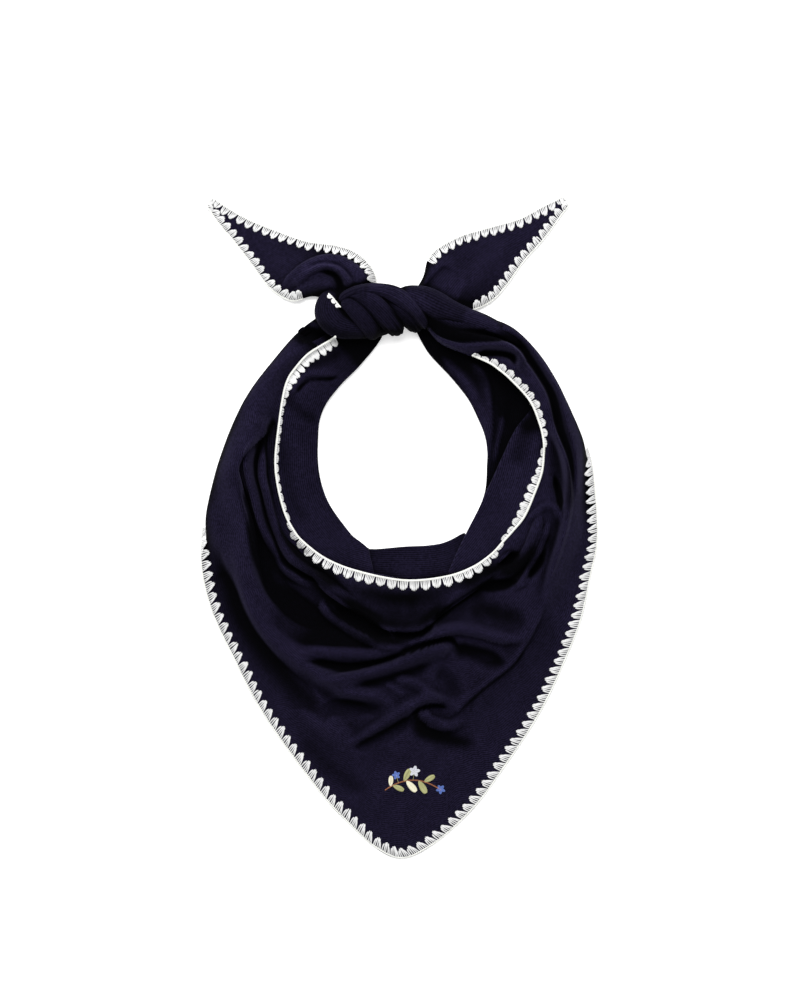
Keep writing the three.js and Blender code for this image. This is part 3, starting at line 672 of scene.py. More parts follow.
@dataclass
class HeightMap:
    """The topmost cloth over each square millimetre, which the yarn and the threads lie on."""

    low: tuple[float, float] = (-215.0, -345.0)
    high: tuple[float, float] = (215.0, 345.0)
    faintest: float = 1e-3          # least share of cloth around a cell that is divided by
    cells: Points = field(init=False)

    def __post_init__(self) -> None:
        """Starts with bare ground."""
        size = [int(b - a) for a, b in zip(self.low, self.high)]
        self.cells = np.zeros(size)

    def mark(self, spots: Points) -> None:
        """Each cell keeps the highest point that falls into it."""
        i, j = (np.floor(spots[:, k] - self.low[k]).astype(int) for k in (0, 1))
        np.maximum.at(self.cells, (i, j), spots[:, 2])

    def cover(self, grid: Points) -> None:
        """Lays a grid of cloth on the map, made twice as fine both ways and then once more."""
        fine = grid
        for axis in (0, 1, 0, 1):
            ahead = np.take(fine, range(1, fine.shape[axis]), axis)
            behind = np.take(fine, range(fine.shape[axis] - 1), axis)
            halves = (ahead + behind) / 2
            fine = np.insert(fine, np.arange(1, fine.shape[axis]), halves, axis)
        self.mark(fine.reshape(-1, 3))

    def cover_shape(self, shape: Shape) -> None:
        """Lays the corners and face middles of a shape on the map."""
        middles = shape.points[shape.faces].mean(axis=1)
        self.mark(np.concatenate([shape.points, middles]))

    def around(self, cells: Points) -> Points:
        """Each cell with its eight neighbours, (9, rows, columns)."""
        padded = np.pad(cells, 1, mode="edge")
        rows, columns = cells.shape
        return np.stack([padded[i:i + rows, j:j + columns] for i in range(3) for j in range(3)])

    def read(self, cells: Points, x: Points, y: Points) -> Points:
        """Values of a map at places, straight between the middles of its cells."""
        rows, columns = cells.shape
        u = np.clip(x - self.low[0] - 0.5, 0, rows - 1.001)
        v = np.clip(y - self.low[1] - 0.5, 0, columns - 1.001)
        i, j = u.astype(int), v.astype(int)
        s, t = u - i, v - j
        return (
            cells[i, j] * (1 - s) * (1 - t) + cells[i + 1, j] * s * (1 - t)
            + cells[i, j + 1] * (1 - s) * t + cells[i + 1, j + 1] * s * t
        )

    def at(self, x: Points, y: Points) -> Points:
        """Height of the cloth at places: the highest of the cells around, evened out a little."""
        high = self.around(self.cells).max(axis=0)
        return self.read(self.around(high).mean(axis=0), x, y)

    def evened(self, size: float) -> Points:
        """The mean height around each cell, weighted by a bell curve of this size in
        millimetres. Bare ground doesn't count: the bell mean of the heights is divided by that
        of a map that is 1 on the cloth. Each is a product of Fourier transforms."""
        rows, columns = self.cells.shape
        waves = np.fft.fftfreq(rows)[:, None] ** 2 + np.fft.rfftfreq(columns)[None] ** 2
        bell = np.exp(-2 * (pi * size) ** 2 * waves)
        covered = (self.cells > 0).astype(float)
        heights, cloth = (
            np.fft.irfft2(np.fft.rfft2(part) * bell, self.cells.shape)
            for part in (self.cells, covered)
        )
        return heights / np.maximum(cloth, self.faintest)

    def mark_nap(self, piece: bpy.types.Object, lift: float, shades: tuple[Fold, ...]) -> None:
        """Gives a piece an attribute of painted shade and light, which its colour and its sheen weight
        are multiplied by: painted shade darkens the knit in the hollows and painted light brightens it
        on the crests.

        The relief is the sum over RELIEF of the share times (height less the mean height around)
        over the depth, held to HIGHEST, with the lift and the shades, and never under LOWEST. The
        factor is 1 and CREST_GAIN times the relief above zero, which is painted light, and a power of 1
        and the relief below, which is painted shade.

        Args:
            piece: a piece of knit.
            lift: added to its relief.
            shades: strokes of painted shade, below zero, and painted light, above zero, that are
            added to its relief.
        """
        spots = np.empty(3 * len(piece.data.vertices), np.float32)
        piece.data.vertices.foreach_get("co", spots)
        x, y, z = spots.reshape(-1, 3).T.astype(float) / METRES
        relief = np.zeros_like(z)
        for size, depth, share in RELIEF:
            raised = (z - self.read(self.evened(size), x, y)) / depth
            relief += share * np.clip(raised, -MOST_RELIEF, MOST_RELIEF)
        shade = np.column_stack([x, y, np.full_like(z, lift)])
        for stroke in shades:
            stroke.add_to(shade, np.ones_like(x))
        # painted shade and light: the relief from the heights, with the lift and the strokes
        relief = np.maximum(np.minimum(relief, HIGHEST) + shade[:, 2], LOWEST)
        hollow = (1 + np.minimum(relief, 0)) ** HOLLOW_POWER
        nap = np.where(relief < 0, hollow, 1 + CREST_GAIN * relief)
        layer = piece.data.attributes.new("nap", "FLOAT", "POINT")
        layer.data.foreach_set("value", nap.astype(np.float32))


class Sheet:
    """A sheet of knit that is worked out as a grid of points, its upper face."""

    name: str
    wall: float                 # thickness of the cloth
    grid: Points

    def build(self) -> None:
        """Works out the grid."""
        raise NotImplementedError

    def place(self, knit: bpy.types.Material, heights: HeightMap) -> bpy.types.Object:
        """Builds the sheet, lays it on the height map and puts it into the scene."""
        self.build()
        heights.cover(self.grid)
        return place_piece(self.name, closed_sheet(self.grid, self.wall), [knit])


# The draped front

# A row for each section, from the left of the knot, down and round the point, and up to the right
# of the knot: neckline x and y, outer edge x and y, heights at the neckline, crest and outer edge,
# place of the crest from 0 at the neckline to 1, where the cloth has come down flat, and how far
# the outer edge is rolled under.
FRONT_ROWS = np.array((
    (-36, 208, -62, 222, 14, 18, 4, 0.50, 1.0, 1),
    (-65, 189, -98, 199, 15, 20, 3, 0.50, 1.0, 1),
    (-93, 172, -130, 163, 16, 25, 3, 0.55, 1.0, 1),
    (-112, 146, -152, 133, 17, 29, 3, 0.60, 1.0, 1),
    (-120, 107, -168, 101, 17, 31, 3, 0.62, 1.0, 1),
    (-124, 70, -181, 66, 17, 31, 3, 0.64, 1.0, 1),
    (-122, 44, -189, 36, 17, 30, 3, 0.66, 1.0, 1),
    (-115, 16, -197, 5, 16, 28, 3, 0.66, 1.0, 0.7),
    (-102, -7, -199, -28, 17, 25, 3, 0.64, 1.0, 0.1),
    (-86, -22, -195.5, -56, 18, 22, 3, 0.60, 0.97, 0),
    (-66, -36, -186, -88, 19, 19, 2.4, 0.52, 0.92, 0),
    (-42, -43, -169, -124, 19, 17, 2.4, 0.44, 0.86, 0),
    (-22, -46, -140, -180, 19, 16, 2.2, 0.36, 0.80, 0),
    (-8, -49, -98, -240, 19, 15, 2.2, 0.28, 0.74, 0),
    (-2, -51, -54, -292, 19, 15, 2.2, 0.24, 0.70, 0),
    (4, -52, 1, -329.5, 19, 15, 2.2, 0.22, 0.68, 0),
    (10, -52, 61, -292, 19, 15, 2.2, 0.24, 0.70, 0),
    (18, -51, 103, -240, 19, 15, 2.2, 0.28, 0.74, 0),
    (34, -50, 142, -180, 19, 16, 2.2, 0.36, 0.80, 0),
    (52, -48, 168, -124, 19, 15, 2.4, 0.44, 0.86, 0),
    (72, -38, 181.5, -88, 18, 15, 2.4, 0.52, 0.92, 0),
    (91, -25, 190.5, -46, 18, 16, 2.4, 0.56, 0.97, 0),
    (111, -5, 196.5, -18, 18, 18, 2.6, 0.58, 1.0, 0),
    (124, 12, 197, 10, 17, 20, 2.8, 0.58, 1.0, 0),
    (134, 35, 195, 38, 18, 24, 3, 0.56, 1.0, 0),
    (142, 60, 192, 64, 18, 29, 3, 0.52, 1.0, 0.2),
    (143, 84, 186, 84, 21, 30, 3, 0.50, 1.0, 0.7),
    (139, 105, 176, 105, 22, 30, 3, 0.50, 1.0, 1),
    (129, 127, 166, 127, 23, 30, 3, 0.50, 1.0, 1),
    (110, 148, 155, 149, 23, 30, 3, 0.50, 1.0, 1),
    (86, 166, 137, 176, 21, 30, 3, 0.50, 1.0, 1),
    (60, 175, 112, 200, 18, 30, 4, 0.50, 1.0, 1),
    (40, 184, 82, 212, 20, 31, 6, 0.50, 1.0, 1),
    (25, 200, 52, 223, 22, 32, 8, 0.50, 1.0, 1),
    (12, 210, 26, 233, 24, 32, 12, 0.50, 1.0, 1),
), float)

SOFT, ROLL, SHARP = Side.SOFT, Side.ROLL, Side.SHARP

# The folds of the left arm, of the panel from the neckline down, and of the right arm.
FRONT_FOLDS = (
    Fold("left arm overlap", 12, 4, 28, (
        (-124, 112), (-130, 102), (-143, 90), (-157, 75), (-164, 60), (-161.5, 46), (-158.5, 33),
        (-152, 10), (-148, -8), (-145.5, -25), (-142.5, -43), (-136.5, -61), (-124, -78)),
        ROLL, SOFT, 2.0, 0.08, 0.25),
    Fold("strip beside the left arm", -15, 5, 4, (
        (-160, 52), (-154, 33), (-147.5, 10), (-143, -8), (-139, -25), (-131, -45), (-122, -60)),
        SOFT, ROLL, start=0.25, end=0.3),
    Fold("hollow beside the left arm", -20, 24, 9, (
        (-149, 10), (-144, -20), (-138, -46), (-127, -66), (-108, -84), (-86, -97), (-62, -106)),
        SOFT, SHARP, start=0.3, end=0.3),
    Fold("outer inner fold", 10, 6, 5, (
        (-139, 95), (-147, 82), (-151, 66), (-149, 50), (-144.5, 33), (-139, 10), (-132.5, -8),
        (-125.5, -25), (-117, -39), (-103, -51), (-82, -63)), ROLL, ROLL, 0.0, 0.12, 0.25),
    Fold("crease between the inner folds", -8, 3.2, 3.2, (
        (-137, 96), (-140, 84), (-143, 66), (-143, 51), (-138.5, 33), (-133.5, 10), (-127, -8),
        (-120.5, -25), (-113, -35), (-99, -44), (-82, -54), (-68, -62)), SHARP, SHARP, start=0.15, end=0.2),
    Fold("wide bend of the crease", -6, 5, 5, ((-122, -24), (-113, -37), (-98, -45), (-80, -53))),
    Fold("inner fold", 8, 6, 5, (
        (-133, 92), (-136.5, 70), (-138, 51), (-133, 33), (-127.5, 10), (-120.5, -8), (-112, -25),
        (-102, -36), (-80, -50), (-58, -67), (-40, -79)), ROLL, ROLL, 0.0, 0.15, 0.3),
    Fold("gap beside the trim", -18, 5, 7, (
        (-125, 112), (-128, 98), (-128.5, 78), (-127, 51), (-123.5, 33), (-117, 10), (-109, -8),
        (-98, -23), (-84, -34)), SOFT, SOFT, start=0.1, end=0.3),
    Fold("wide end of the gap", -10, 6, 8, ((-118, 12), (-110, -4), (-102, -16), (-88, -30))),
    Fold("upper pleat from the inner fold", -5, 3, 3, (
        (-98, -34), (-80, -42), (-60, -54), (-40, -70)), SHARP, SOFT, start=0.2, end=0.3),
    Fold("lower pleat from the inner fold", -5, 3, 3, (
        (-96, -46), (-78, -54), (-62, -64), (-46, -78)), SHARP, SOFT, start=0.2, end=0.3),
    Fold("left long fold", 13, 18, 15, (
        (-166, -14), (-159, -52), (-149, -81), (-131, -108), (-108, -128), (-81, -146), (-52, -163),
        (-28, -172), (2, -181)), SOFT, SOFT, start=0.35, end=0.12),
    Fold("bowl under the neckline", -8, 26, 28, (
        (-134, 40), (-129, 6), (-118, -34), (-98, -64), (-62, -82), (0, -86), (46, -80), (84, -66),
        (116, -36), (138, -4)), start=0.12, end=0.15),
    Fold("left end of the bowl", -9, 26, 24, (
        (-140, -6), (-130, -44), (-110, -78), (-78, -100), (-36, -112))),
    Fold("trough of the left inner folds", -8, 14, 13, (
        (-126, 120), (-137, 94), (-144, 64), (-142, 34), (-136, 4), (-128, -24), (-116, -44),
        (-98, -60))),
    Fold("trough of the right inner folds", -8, 12, 11, (
        (146, 124), (152, 98), (155, 70), (157, 42), (154, 20))),
    Fold("hollow under the knot, left", -21, 12, 12, (
        (-106, 198), (-90, 193), (-76, 190), (-58, 194)), start=0.3),
    Fold("left long valley", -15, 13, 20, (
        (-184, -12), (-179, -34), (-171, -58), (-157, -96), (-137, -126), (-117, -149), (-93, -170),
        (-76, -190)), SOFT, SOFT, start=0.3, end=0.15),
    Fold("dip at the end of the valley", -7, 12, 12, ((-92, -172), (-80, -184), (-70, -195))),
    Fold("edge of the neck shield", 10, 34, 4.5, (
        (-92, -40), (-78, -55), (-64, -66), (-46, -78), (-30, -89), (-13, -97), (6, -99), (21, -97),
        (35, -86), (52, -73), (72, -59), (98, -42)), SOFT, ROLL, -2.5, 0.15, 0.15),
    Fold("pocket under the shield, left", -18, 6, 15, (
        (-66, -76), (-48, -85), (-33, -94), (-19, -103), (-4, -109)), start=0.35, end=0.3),
    Fold("pocket under the shield, middle", -10, 5, 8, (
        (-10, -104), (6, -106), (22, -104), (34, -94)), SOFT, SOFT),
    Fold("slit under the shield, right", -8, 3, 6, (
        (28, -97), (41, -85), (56, -73), (74, -61), (92, -49))),
    Fold("thin fold under the pocket", 8, 5, 4.5, (
        (-76, -68), (-77, -79), (-67, -91), (-49, -103), (-34, -111), (-16, -117), (4, -119)),
        ROLL, ROLL, 0.0, 0.12, 0.2),
    Fold("upper left fold", 6, 6, 7, (
        (-112, -112), (-98, -120), (-80, -123), (-50, -124), (-24, -124), (6, -119)),
        ROLL, ROLL, start=0.3),
    Fold("crease under it", -14, 6, 8, (
        (-102, -131), (-84, -134), (-58, -138), (-34, -137), (-10, -131), (12, -122)),
        SOFT, SOFT, start=0.25),
    Fold("middle fold", 12, 6, 11, (
        (-88, -151), (-66, -151), (-38, -146), (-10, -137), (14, -130), (34, -123), (44, -121),
        (52, -121)), ROLL, SOFT, 1.0, 0.25, 0.07),
    Fold("shadow under the middle fold", -5, 8, 10, (
        (-56, -161), (-34, -156), (-8, -149), (14, -142), (36, -133)), start=0.3),
    Fold("shadow at its nose", -11, 6, 4, (
        (-4, -124), (12, -121), (26, -116), (38, -112), (51, -112), (60, -122)), start=0.2, end=0.2),
    Fold("right cross fold", 11, 9, 7, (
        (16, -114), (29, -108), (41, -102), (58, -99), (80, -103), (102, -109), (119, -110),
        (132, -108)), SOFT, ROLL, -1.0, 0.2, 0.3),
    Fold("hollow under the cross fold", -12, 10, 17, (
        (48, -116), (62, -120), (78, -124), (94, -130), (110, -140)), start=0.25, end=0.35),
    Fold("small fold", 8, 7, 8, ((-8, -150), (4, -151), (17, -155), (30, -164), (44, -175))),
    Fold("hollow beside the small fold", -4, 13, 13, ((34, -142), (46, -150), (55, -161), (60, -172))),
    Fold("smaller fold", 4, 5, 5, ((-16, -154), (-6, -160), (6, -168))),
    Fold("lower middle fold", 10, 9, 12, (
        (-57, -220), (-46, -213), (-26, -201), (-3, -185), (12, -176), (27, -170), (44, -171),
        (54, -176)), SOFT, SOFT, 0.0, 0.25, 0.14),
    Fold("wedge above it", -12, 11, 13, (
        (-84, -183), (-64, -179), (-42, -176), (-20, -177), (-4, -180)), start=0.25, end=0.3),
    Fold("shadow below it", -9, 6, 12, (
        (-52, -223), (-32, -213), (-12, -202), (4, -193), (16, -185)), start=0.3),
    Fold("hook crease", -11, 4, 4, (
        (8, -189), (14, -184), (20, -180), (30, -177), (40, -177), (48, -180)), SHARP, SOFT),
    Fold("crossing fold", 10, 6, 6, (
        (16, -181), (24, -187), (34, -194), (46, -197), (58, -195), (68, -190)), ROLL, ROLL, end=0.35),
    Fold("shadow round the hook", -15, 9, 10, (
        (13, -186), (17, -196), (26, -205), (42, -209), (58, -213), (78, -215)),
        start=0.15, end=0.35),
    Fold("lower left swell", 8, 18, 20, (
        (-112, -150), (-98, -166), (-84, -182), (-64, -203), (-34, -234)), start=0.3, end=0.35),
    Fold("lower left valley", -5, 16, 16, ((-98, -206), (-80, -226), (-60, -246), (-30, -264))),
    Fold("right long fold", 9, 22, 9, (
        (146, 112), (153, 98), (161, 84), (167, 64), (169, 42), (167, 18), (162, -8), (155, -32),
        (149, -56), (144, -76), (138, -94)), SOFT, SOFT, start=0.1, end=0.25),
    Fold("hem of the right long fold", 4, 3, 20, (
        (146, -64), (138, -88), (128, -108), (114, -131), (100, -144), (85, -155), (68, -170),
        (53, -184), (44, -191)), ROLL, SOFT, 1.0, 0.2, 0.1),
    Fold("groove beside the right arm", -25, 9, 5, (
        (52, 197), (76, 194), (102, 190), (119, 180), (130, 165), (140, 150), (149, 134), (154, 116),
        (158, 99), (163, 84), (167.5, 71), (170, 58), (171.5, 42), (172, 24)), start=0.3, end=0.3),
    Fold("pocket beside the right trim", -15, 5, 5, (
        (153, 54), (156, 43), (159, 30), (160, 16)), start=0.3, end=0.3),
    Fold("upper edge of the right long fold", 5, 5, 8, (
        (148, 103), (156, 88), (164, 72), (168, 52), (168.5, 26), (164, -2), (156, -28), (148, -52),
        (140, -76)), SOFT, SOFT, start=0.08, end=0.3),
    Fold("hook of the right arm", 9, 4, 7, (
        (24, 204), (31, 192), (42, 185), (60, 180), (80, 180.5), (100, 182), (114, 179.5), (121, 171),
        (121, 160), (130, 152)), ROLL, ROLL, 0.0, 0.08, 0.15),
    Fold("hollow under the hook", -17, 7, 7, (
        (72, 173), (86, 175), (102, 174), (113, 169), (116, 158)), start=0.25, end=0.2),
    Fold("first right pocket", -22, 9, 10, (
        (96, -40), (104, -33), (112, -28), (123, -25)), start=0.5, end=0.5),
    Fold("second right pocket", -19, 7, 8, (
        (76, -62), (90, -58), (104, -56), (120, -52)), start=0.4, end=0.4),
    Fold("third right pocket", -14, 6, 6, (
        (122, -56), (131, -45), (139, -34), (146, -18)), start=0.4, end=0.4),
    Fold("fold between the pockets", 8, 6, 6, (
        (84, -50), (98, -47), (112, -42), (124, -28), (134, -6), (141, 18)), ROLL, ROLL, start=0.2),
    Fold("second fold between the pockets", 6, 4, 5, (
        (106, -64), (120, -56), (130, -38), (140, -14), (150, 10)), ROLL, ROLL, start=0.25),
    Fold("facet below the slit", 6, 4, 6, (
        (126, 4), (134, 14), (145, 22), (155, 19), (160, 4)), ROLL, SOFT),
    Fold("soft hollow", -6, 19, 16, ((78, -76), (104, -84), (128, -84)), start=0.45, end=0.45),
)


# Strokes of painted shade, below zero, and painted light, above zero, on the front, added to
# its relief
FRONT_SHADES = (
    Fold("upper crescent", -0.8, 12, 7, (
        (-152, 22), (-147, -8), (-143, -34), (-136, -56), (-124, -72), (-106, -84)), start=0.2, end=0.3),
    Fold("lower crescent", -0.8, 30, 18, (
        (-130, -50), (-118, -72), (-100, -88), (-76, -99), (-48, -108), (-20, -113), (6, -113)),
        start=0.2, end=0.35),
    Fold("lower part of the inner folds", -0.55, 15, 14, (
        (-122, -20), (-108, -44), (-84, -58), (-56, -74), (-30, -90), (-10, -100))),
    Fold("beside the left trim", -1.2, 7, 11, (
        (-123, 114), (-127, 98), (-128, 78), (-126.5, 55), (-123, 34), (-116, 10), (-108, -8),
        (-97, -24), (-82, -38)), start=0.1),
    Fold("below the left trim", -1.3, 14, 19, ((-118, 14), (-108, -10), (-86, -36), (-54, -58))),
    Fold("left arm at the knot", -1.4, 14, 15, (
        (-112, 192), (-96, 188), (-80, 186), (-62, 192)), start=0.3),
    Fold("thin fold under the pocket", -0.2, 6, 6, (
        (-76, -72), (-76, -81), (-66, -92), (-49, -103), (-34, -111), (-16, -117)), start=0.1),
    Fold("inside the left long fold", -0.35, 15, 13, (
        (-132, -78), (-119, -94), (-104, -105), (-84, -112), (-56, -119)), start=0.2, end=0.3),
    Fold("upper left fold", -0.45, 14, 10, (
        (-118, -102), (-98, -112), (-76, -112), (-50, -116), (-20, -119), (10, -116))),
    Fold("upper part of the shield", -0.9, 14, 16, (
        (-86, -38), (-58, -56), (-26, -66), (10, -68), (40, -62), (66, -48), (88, -36), (106, -22))),
    Fold("lower part of the shield", -0.55, 17, 15, (
        (-62, -66), (-42, -80), (-22, -88), (8, -91), (32, -83), (58, -64))),
    Fold("between the shield and the middle fold", -0.8, 8, 7, (
        (-34, -106), (-18, -111), (-4, -112), (10, -111), (20, -107)), start=0.25, end=0.3),
    Fold("edge of the shield", -0.7, 10, 6, (
        (-70, -62), (-46, -78), (-30, -89), (-13, -97), (6, -99), (21, -97), (35, -86), (60, -68))),
    Fold("left long valley", -0.4, 12, 22, (
        (-176, -34), (-168, -62), (-153, -96), (-134, -126), (-116, -147), (-96, -170), (-78, -188)),
        start=0.35, end=0.12),
    Fold("lower left valley", -0.3, 16, 16, ((-104, -204), (-84, -226), (-60, -248), (-30, -266))),
    Fold("inner edge of the left arm", -0.65, 6, 7, (
        (-156, 74), (-164, 58), (-160, 38), (-155, 18), (-150, -4), (-146, -26), (-141, -48))),
    Fold("left long fold", -0.15, 16, 16, (
        (-158, -56), (-146, -88), (-124, -116), (-96, -138), (-64, -158), (-20, -176))),
    Fold("between the right pockets", -0.7, 14, 14, (
        (92, -46), (110, -42), (126, -32), (138, -12), (146, 6))),
    Fold("inside the hem of the right long fold", -0.38, 4, 16, (
        (128, -104), (110, -128), (95, -142), (79, -155), (61, -169))),
    Fold("above the right fold", -0.55, 20, 18, ((66, -80), (88, -88), (108, -92), (132, -90))),
    Fold("under the right neckline", -0.8, 16, 20, (
        (54, -64), (78, -52), (100, -42), (120, -32), (138, -10))),
    Fold("above the hook of the right arm", -1.3, 9, 7, (
        (30, 202), (40, 195), (58, 190), (80, 189), (100, 189), (112, 185)), start=0.1),
    Fold("right arm beside the knot", -1.2, 13, 12, (
        (18, 208), (30, 203), (50, 198), (75, 195), (96, 191), (110, 186)), start=0.1),
    Fold("inner side of the right long fold", -0.3, 6, 12, (
        (160, 40), (158, 10), (151, -22), (142, -50), (132, -78))),
    Fold("right side of the hook", -0.6, 7, 7, ((110, 177), (120, 170), (124, 158), (133, 150))),
    Fold("first right pocket", 0.35, 8, 8, ((104, -32), (116, -26), (130, -16))),
    Fold("lower edge of the right arm", -1.0, 13, 8, (
        (140, 150), (151, 130), (159, 108), (166, 84), (169, 56), (168, 30), (164, 0))),
    Fold("below the hem of the right long fold", -0.6, 4, 3, (
        (131, -108), (117, -132), (102, -146), (87, -157), (70, -172), (55, -186)), start=0.25),
    Fold("left end of the crossing fold", -0.65, 7, 7, ((12, -182), (20, -188), (32, -194), (44, -197))),
    Fold("lower middle fold", -0.4, 13, 13, ((-50, -218), (-28, -204), (-4, -188), (14, -177))),
    Fold("nose of the middle fold", -0.45, 12, 9, ((-4, -132), (14, -127), (30, -122), (46, -120))),
    Fold("shadow round the hook", -0.6, 12, 12, (
        (14, -190), (24, -204), (42, -210), (60, -214), (80, -216))),
    Fold("outer right panel", 0.6, 26, 26, ((186, 30), (184, -20), (176, -64), (156, -116))),
)


@dataclass
class FrontDrape(Sheet):
    """The triangle of cloth with its two arms, from the neckline to the outer edge."""

    name: str = "front_cloth"
    wall: float = 1.6
    lines_along: int = 421
    lines_across: int = 105
    rest: float = 1.9               # top of the cloth where it lies flat
    neck_margin: float = 0.06       # the folds start this share of the width in from the neckline
    hem_margin: float = 0.08
    roll_under: float = 0.62        # part of a half turn that a rolled edge goes on below
    roll_bottom: float = 0.6        # height of the lowest point of a roll
    free_from: float = 0.8          # share of the width from which a rolled edge has no folds
    free_over: float = 0.1          # share over which they fade before it
    sunk: float = 0.12              # what is left of a hollow's depth below the rest height
    lowest: float = 0.4
    ripples: tuple[Ripple, ...] = (Ripple(0.6, 3, 30.0), Ripple(0.3, 4, 12.0))
    lift: float = 0.0               # added to the relief of its painted shade and light
    flat_size: tuple[float, float] = (1.02, 0.33)
    flat_area: float = 0.150
    grid: Points = field(init=False)

    def build(self) -> None:
        """Works out the grid of the upper face.

        Across a section the height rises from the neckline to the crest by a smooth step. From
        there it falls by another to the outer edge, where the cloth is flat, or goes round an
        oval roll, where it is rolled, and the two are mixed by the row's roll.
        """
        middle = (FRONT_ROWS[:, 0:2] + 2 * FRONT_ROWS[:, 2:4]) / 3
        rows = rows_at(FRONT_ROWS, places_by_length(middle, self.lines_along))
        neck, hem = rows[:, None, 0:2], rows[:, None, 2:4]
        low, crest, edge, crest_at, fall_to = (rows[:, None, k] for k in range(4, 9))
        roll = np.clip(rows[:, None, 9], 0, 1)
        share = np.linspace(0, 1, self.lines_across)[None]
        rise = low + (crest - low) * ease(share / crest_at)
        past = np.clip((share - crest_at) / (1 - crest_at), 0, 1)
        flat = edge + (crest - edge) * (1 - ease((share - crest_at) / (fall_to - crest_at)))
        turn = past * pi * (0.5 + self.roll_under / 2)
        half = (crest - self.roll_bottom) / 2
        rolled = crest - half + half * np.cos(turn)
        rolled_share = crest_at + (1 - crest_at) * np.sin(turn)
        beyond = share > crest_at
        place = np.where(beyond, share + (rolled_share - share) * roll, share)
        height = np.where(beyond, flat + (rolled - flat) * roll, rise)
        level = neck + (hem - neck) * place[..., None]
        grid = np.concatenate([level, height[..., None]], axis=-1)
        open_edge = 1 - roll * ease((share - self.free_from) / self.free_over)
        held = ease(share / self.neck_margin) * ease((1 - share) / self.hem_margin) * open_edge
        for fold in FRONT_FOLDS:
            fold.add_to(grid, held)
        x, y = grid[..., 0].copy(), grid[..., 1].copy()
        grid[..., 2] += held * sum(ripple.at(x, y) for ripple in self.ripples)
        sunk = self.rest + (grid[..., 2] - self.rest) * self.sunk
        grid[..., 2] = np.where(grid[..., 2] < self.rest, sunk, grid[..., 2])
        grid[..., 2] = np.maximum(grid[..., 2], self.lowest)
        self.grid = grid


# The neck band

@dataclass
class BandLayer(Sheet):
    """One layer of the folded neck band, between the opening and the neckline.

    rows: edge towards the opening x and y, edge tucked under the front x and y, and the heights
    at both.
    """

    name: str
    rows: tuple
    flat_size: tuple[float, float]
    folds: tuple[Fold, ...] = ()
    # strokes of painted shade and light
    shades: tuple[Fold, ...] = ()
    lift: float = 0.2               # added to the relief of its painted shade and light
    wall: float = 2.6
    lines_across: int = 36
    spacing: float = 2.0            # of the lines across it
    risen: float = 0.8              # share of the width where the neckline's height is reached
    margin: float = 0.05            # the folds start this share of the width in from the opening
    ripple: Ripple = Ripple(0.35, 8, 30.0)
    grid: Points = field(init=False)

    def build(self) -> None:
        """Across a row the height goes from the opening's to the neckline's by a smooth step."""
        table = np.array(self.rows, float)
        count = int(curve_length(table[:, :2]) / self.spacing) + 2
        rows = rows_at(table, places_by_length((table[:, :2] + table[:, 2:4]) / 2, count))
        share = np.linspace(0, 1, self.lines_across)[None, :, None]
        level = rows[:, None, :2] + (rows[:, None, 2:4] - rows[:, None, :2]) * share
        low, high = rows[:, None, 4:5], rows[:, None, 5:6]
        height = low + (high - low) * ease(share / self.risen)
        grid = np.concatenate([level, height], axis=-1)
        held = np.broadcast_to(ease(share[..., 0] / self.margin), grid.shape[:2])
        for fold in self.folds:
            fold.add_to(grid, held)
        grid[..., 2] += self.ripple.at(grid[..., 0], grid[..., 1]) * held
        self.grid = grid


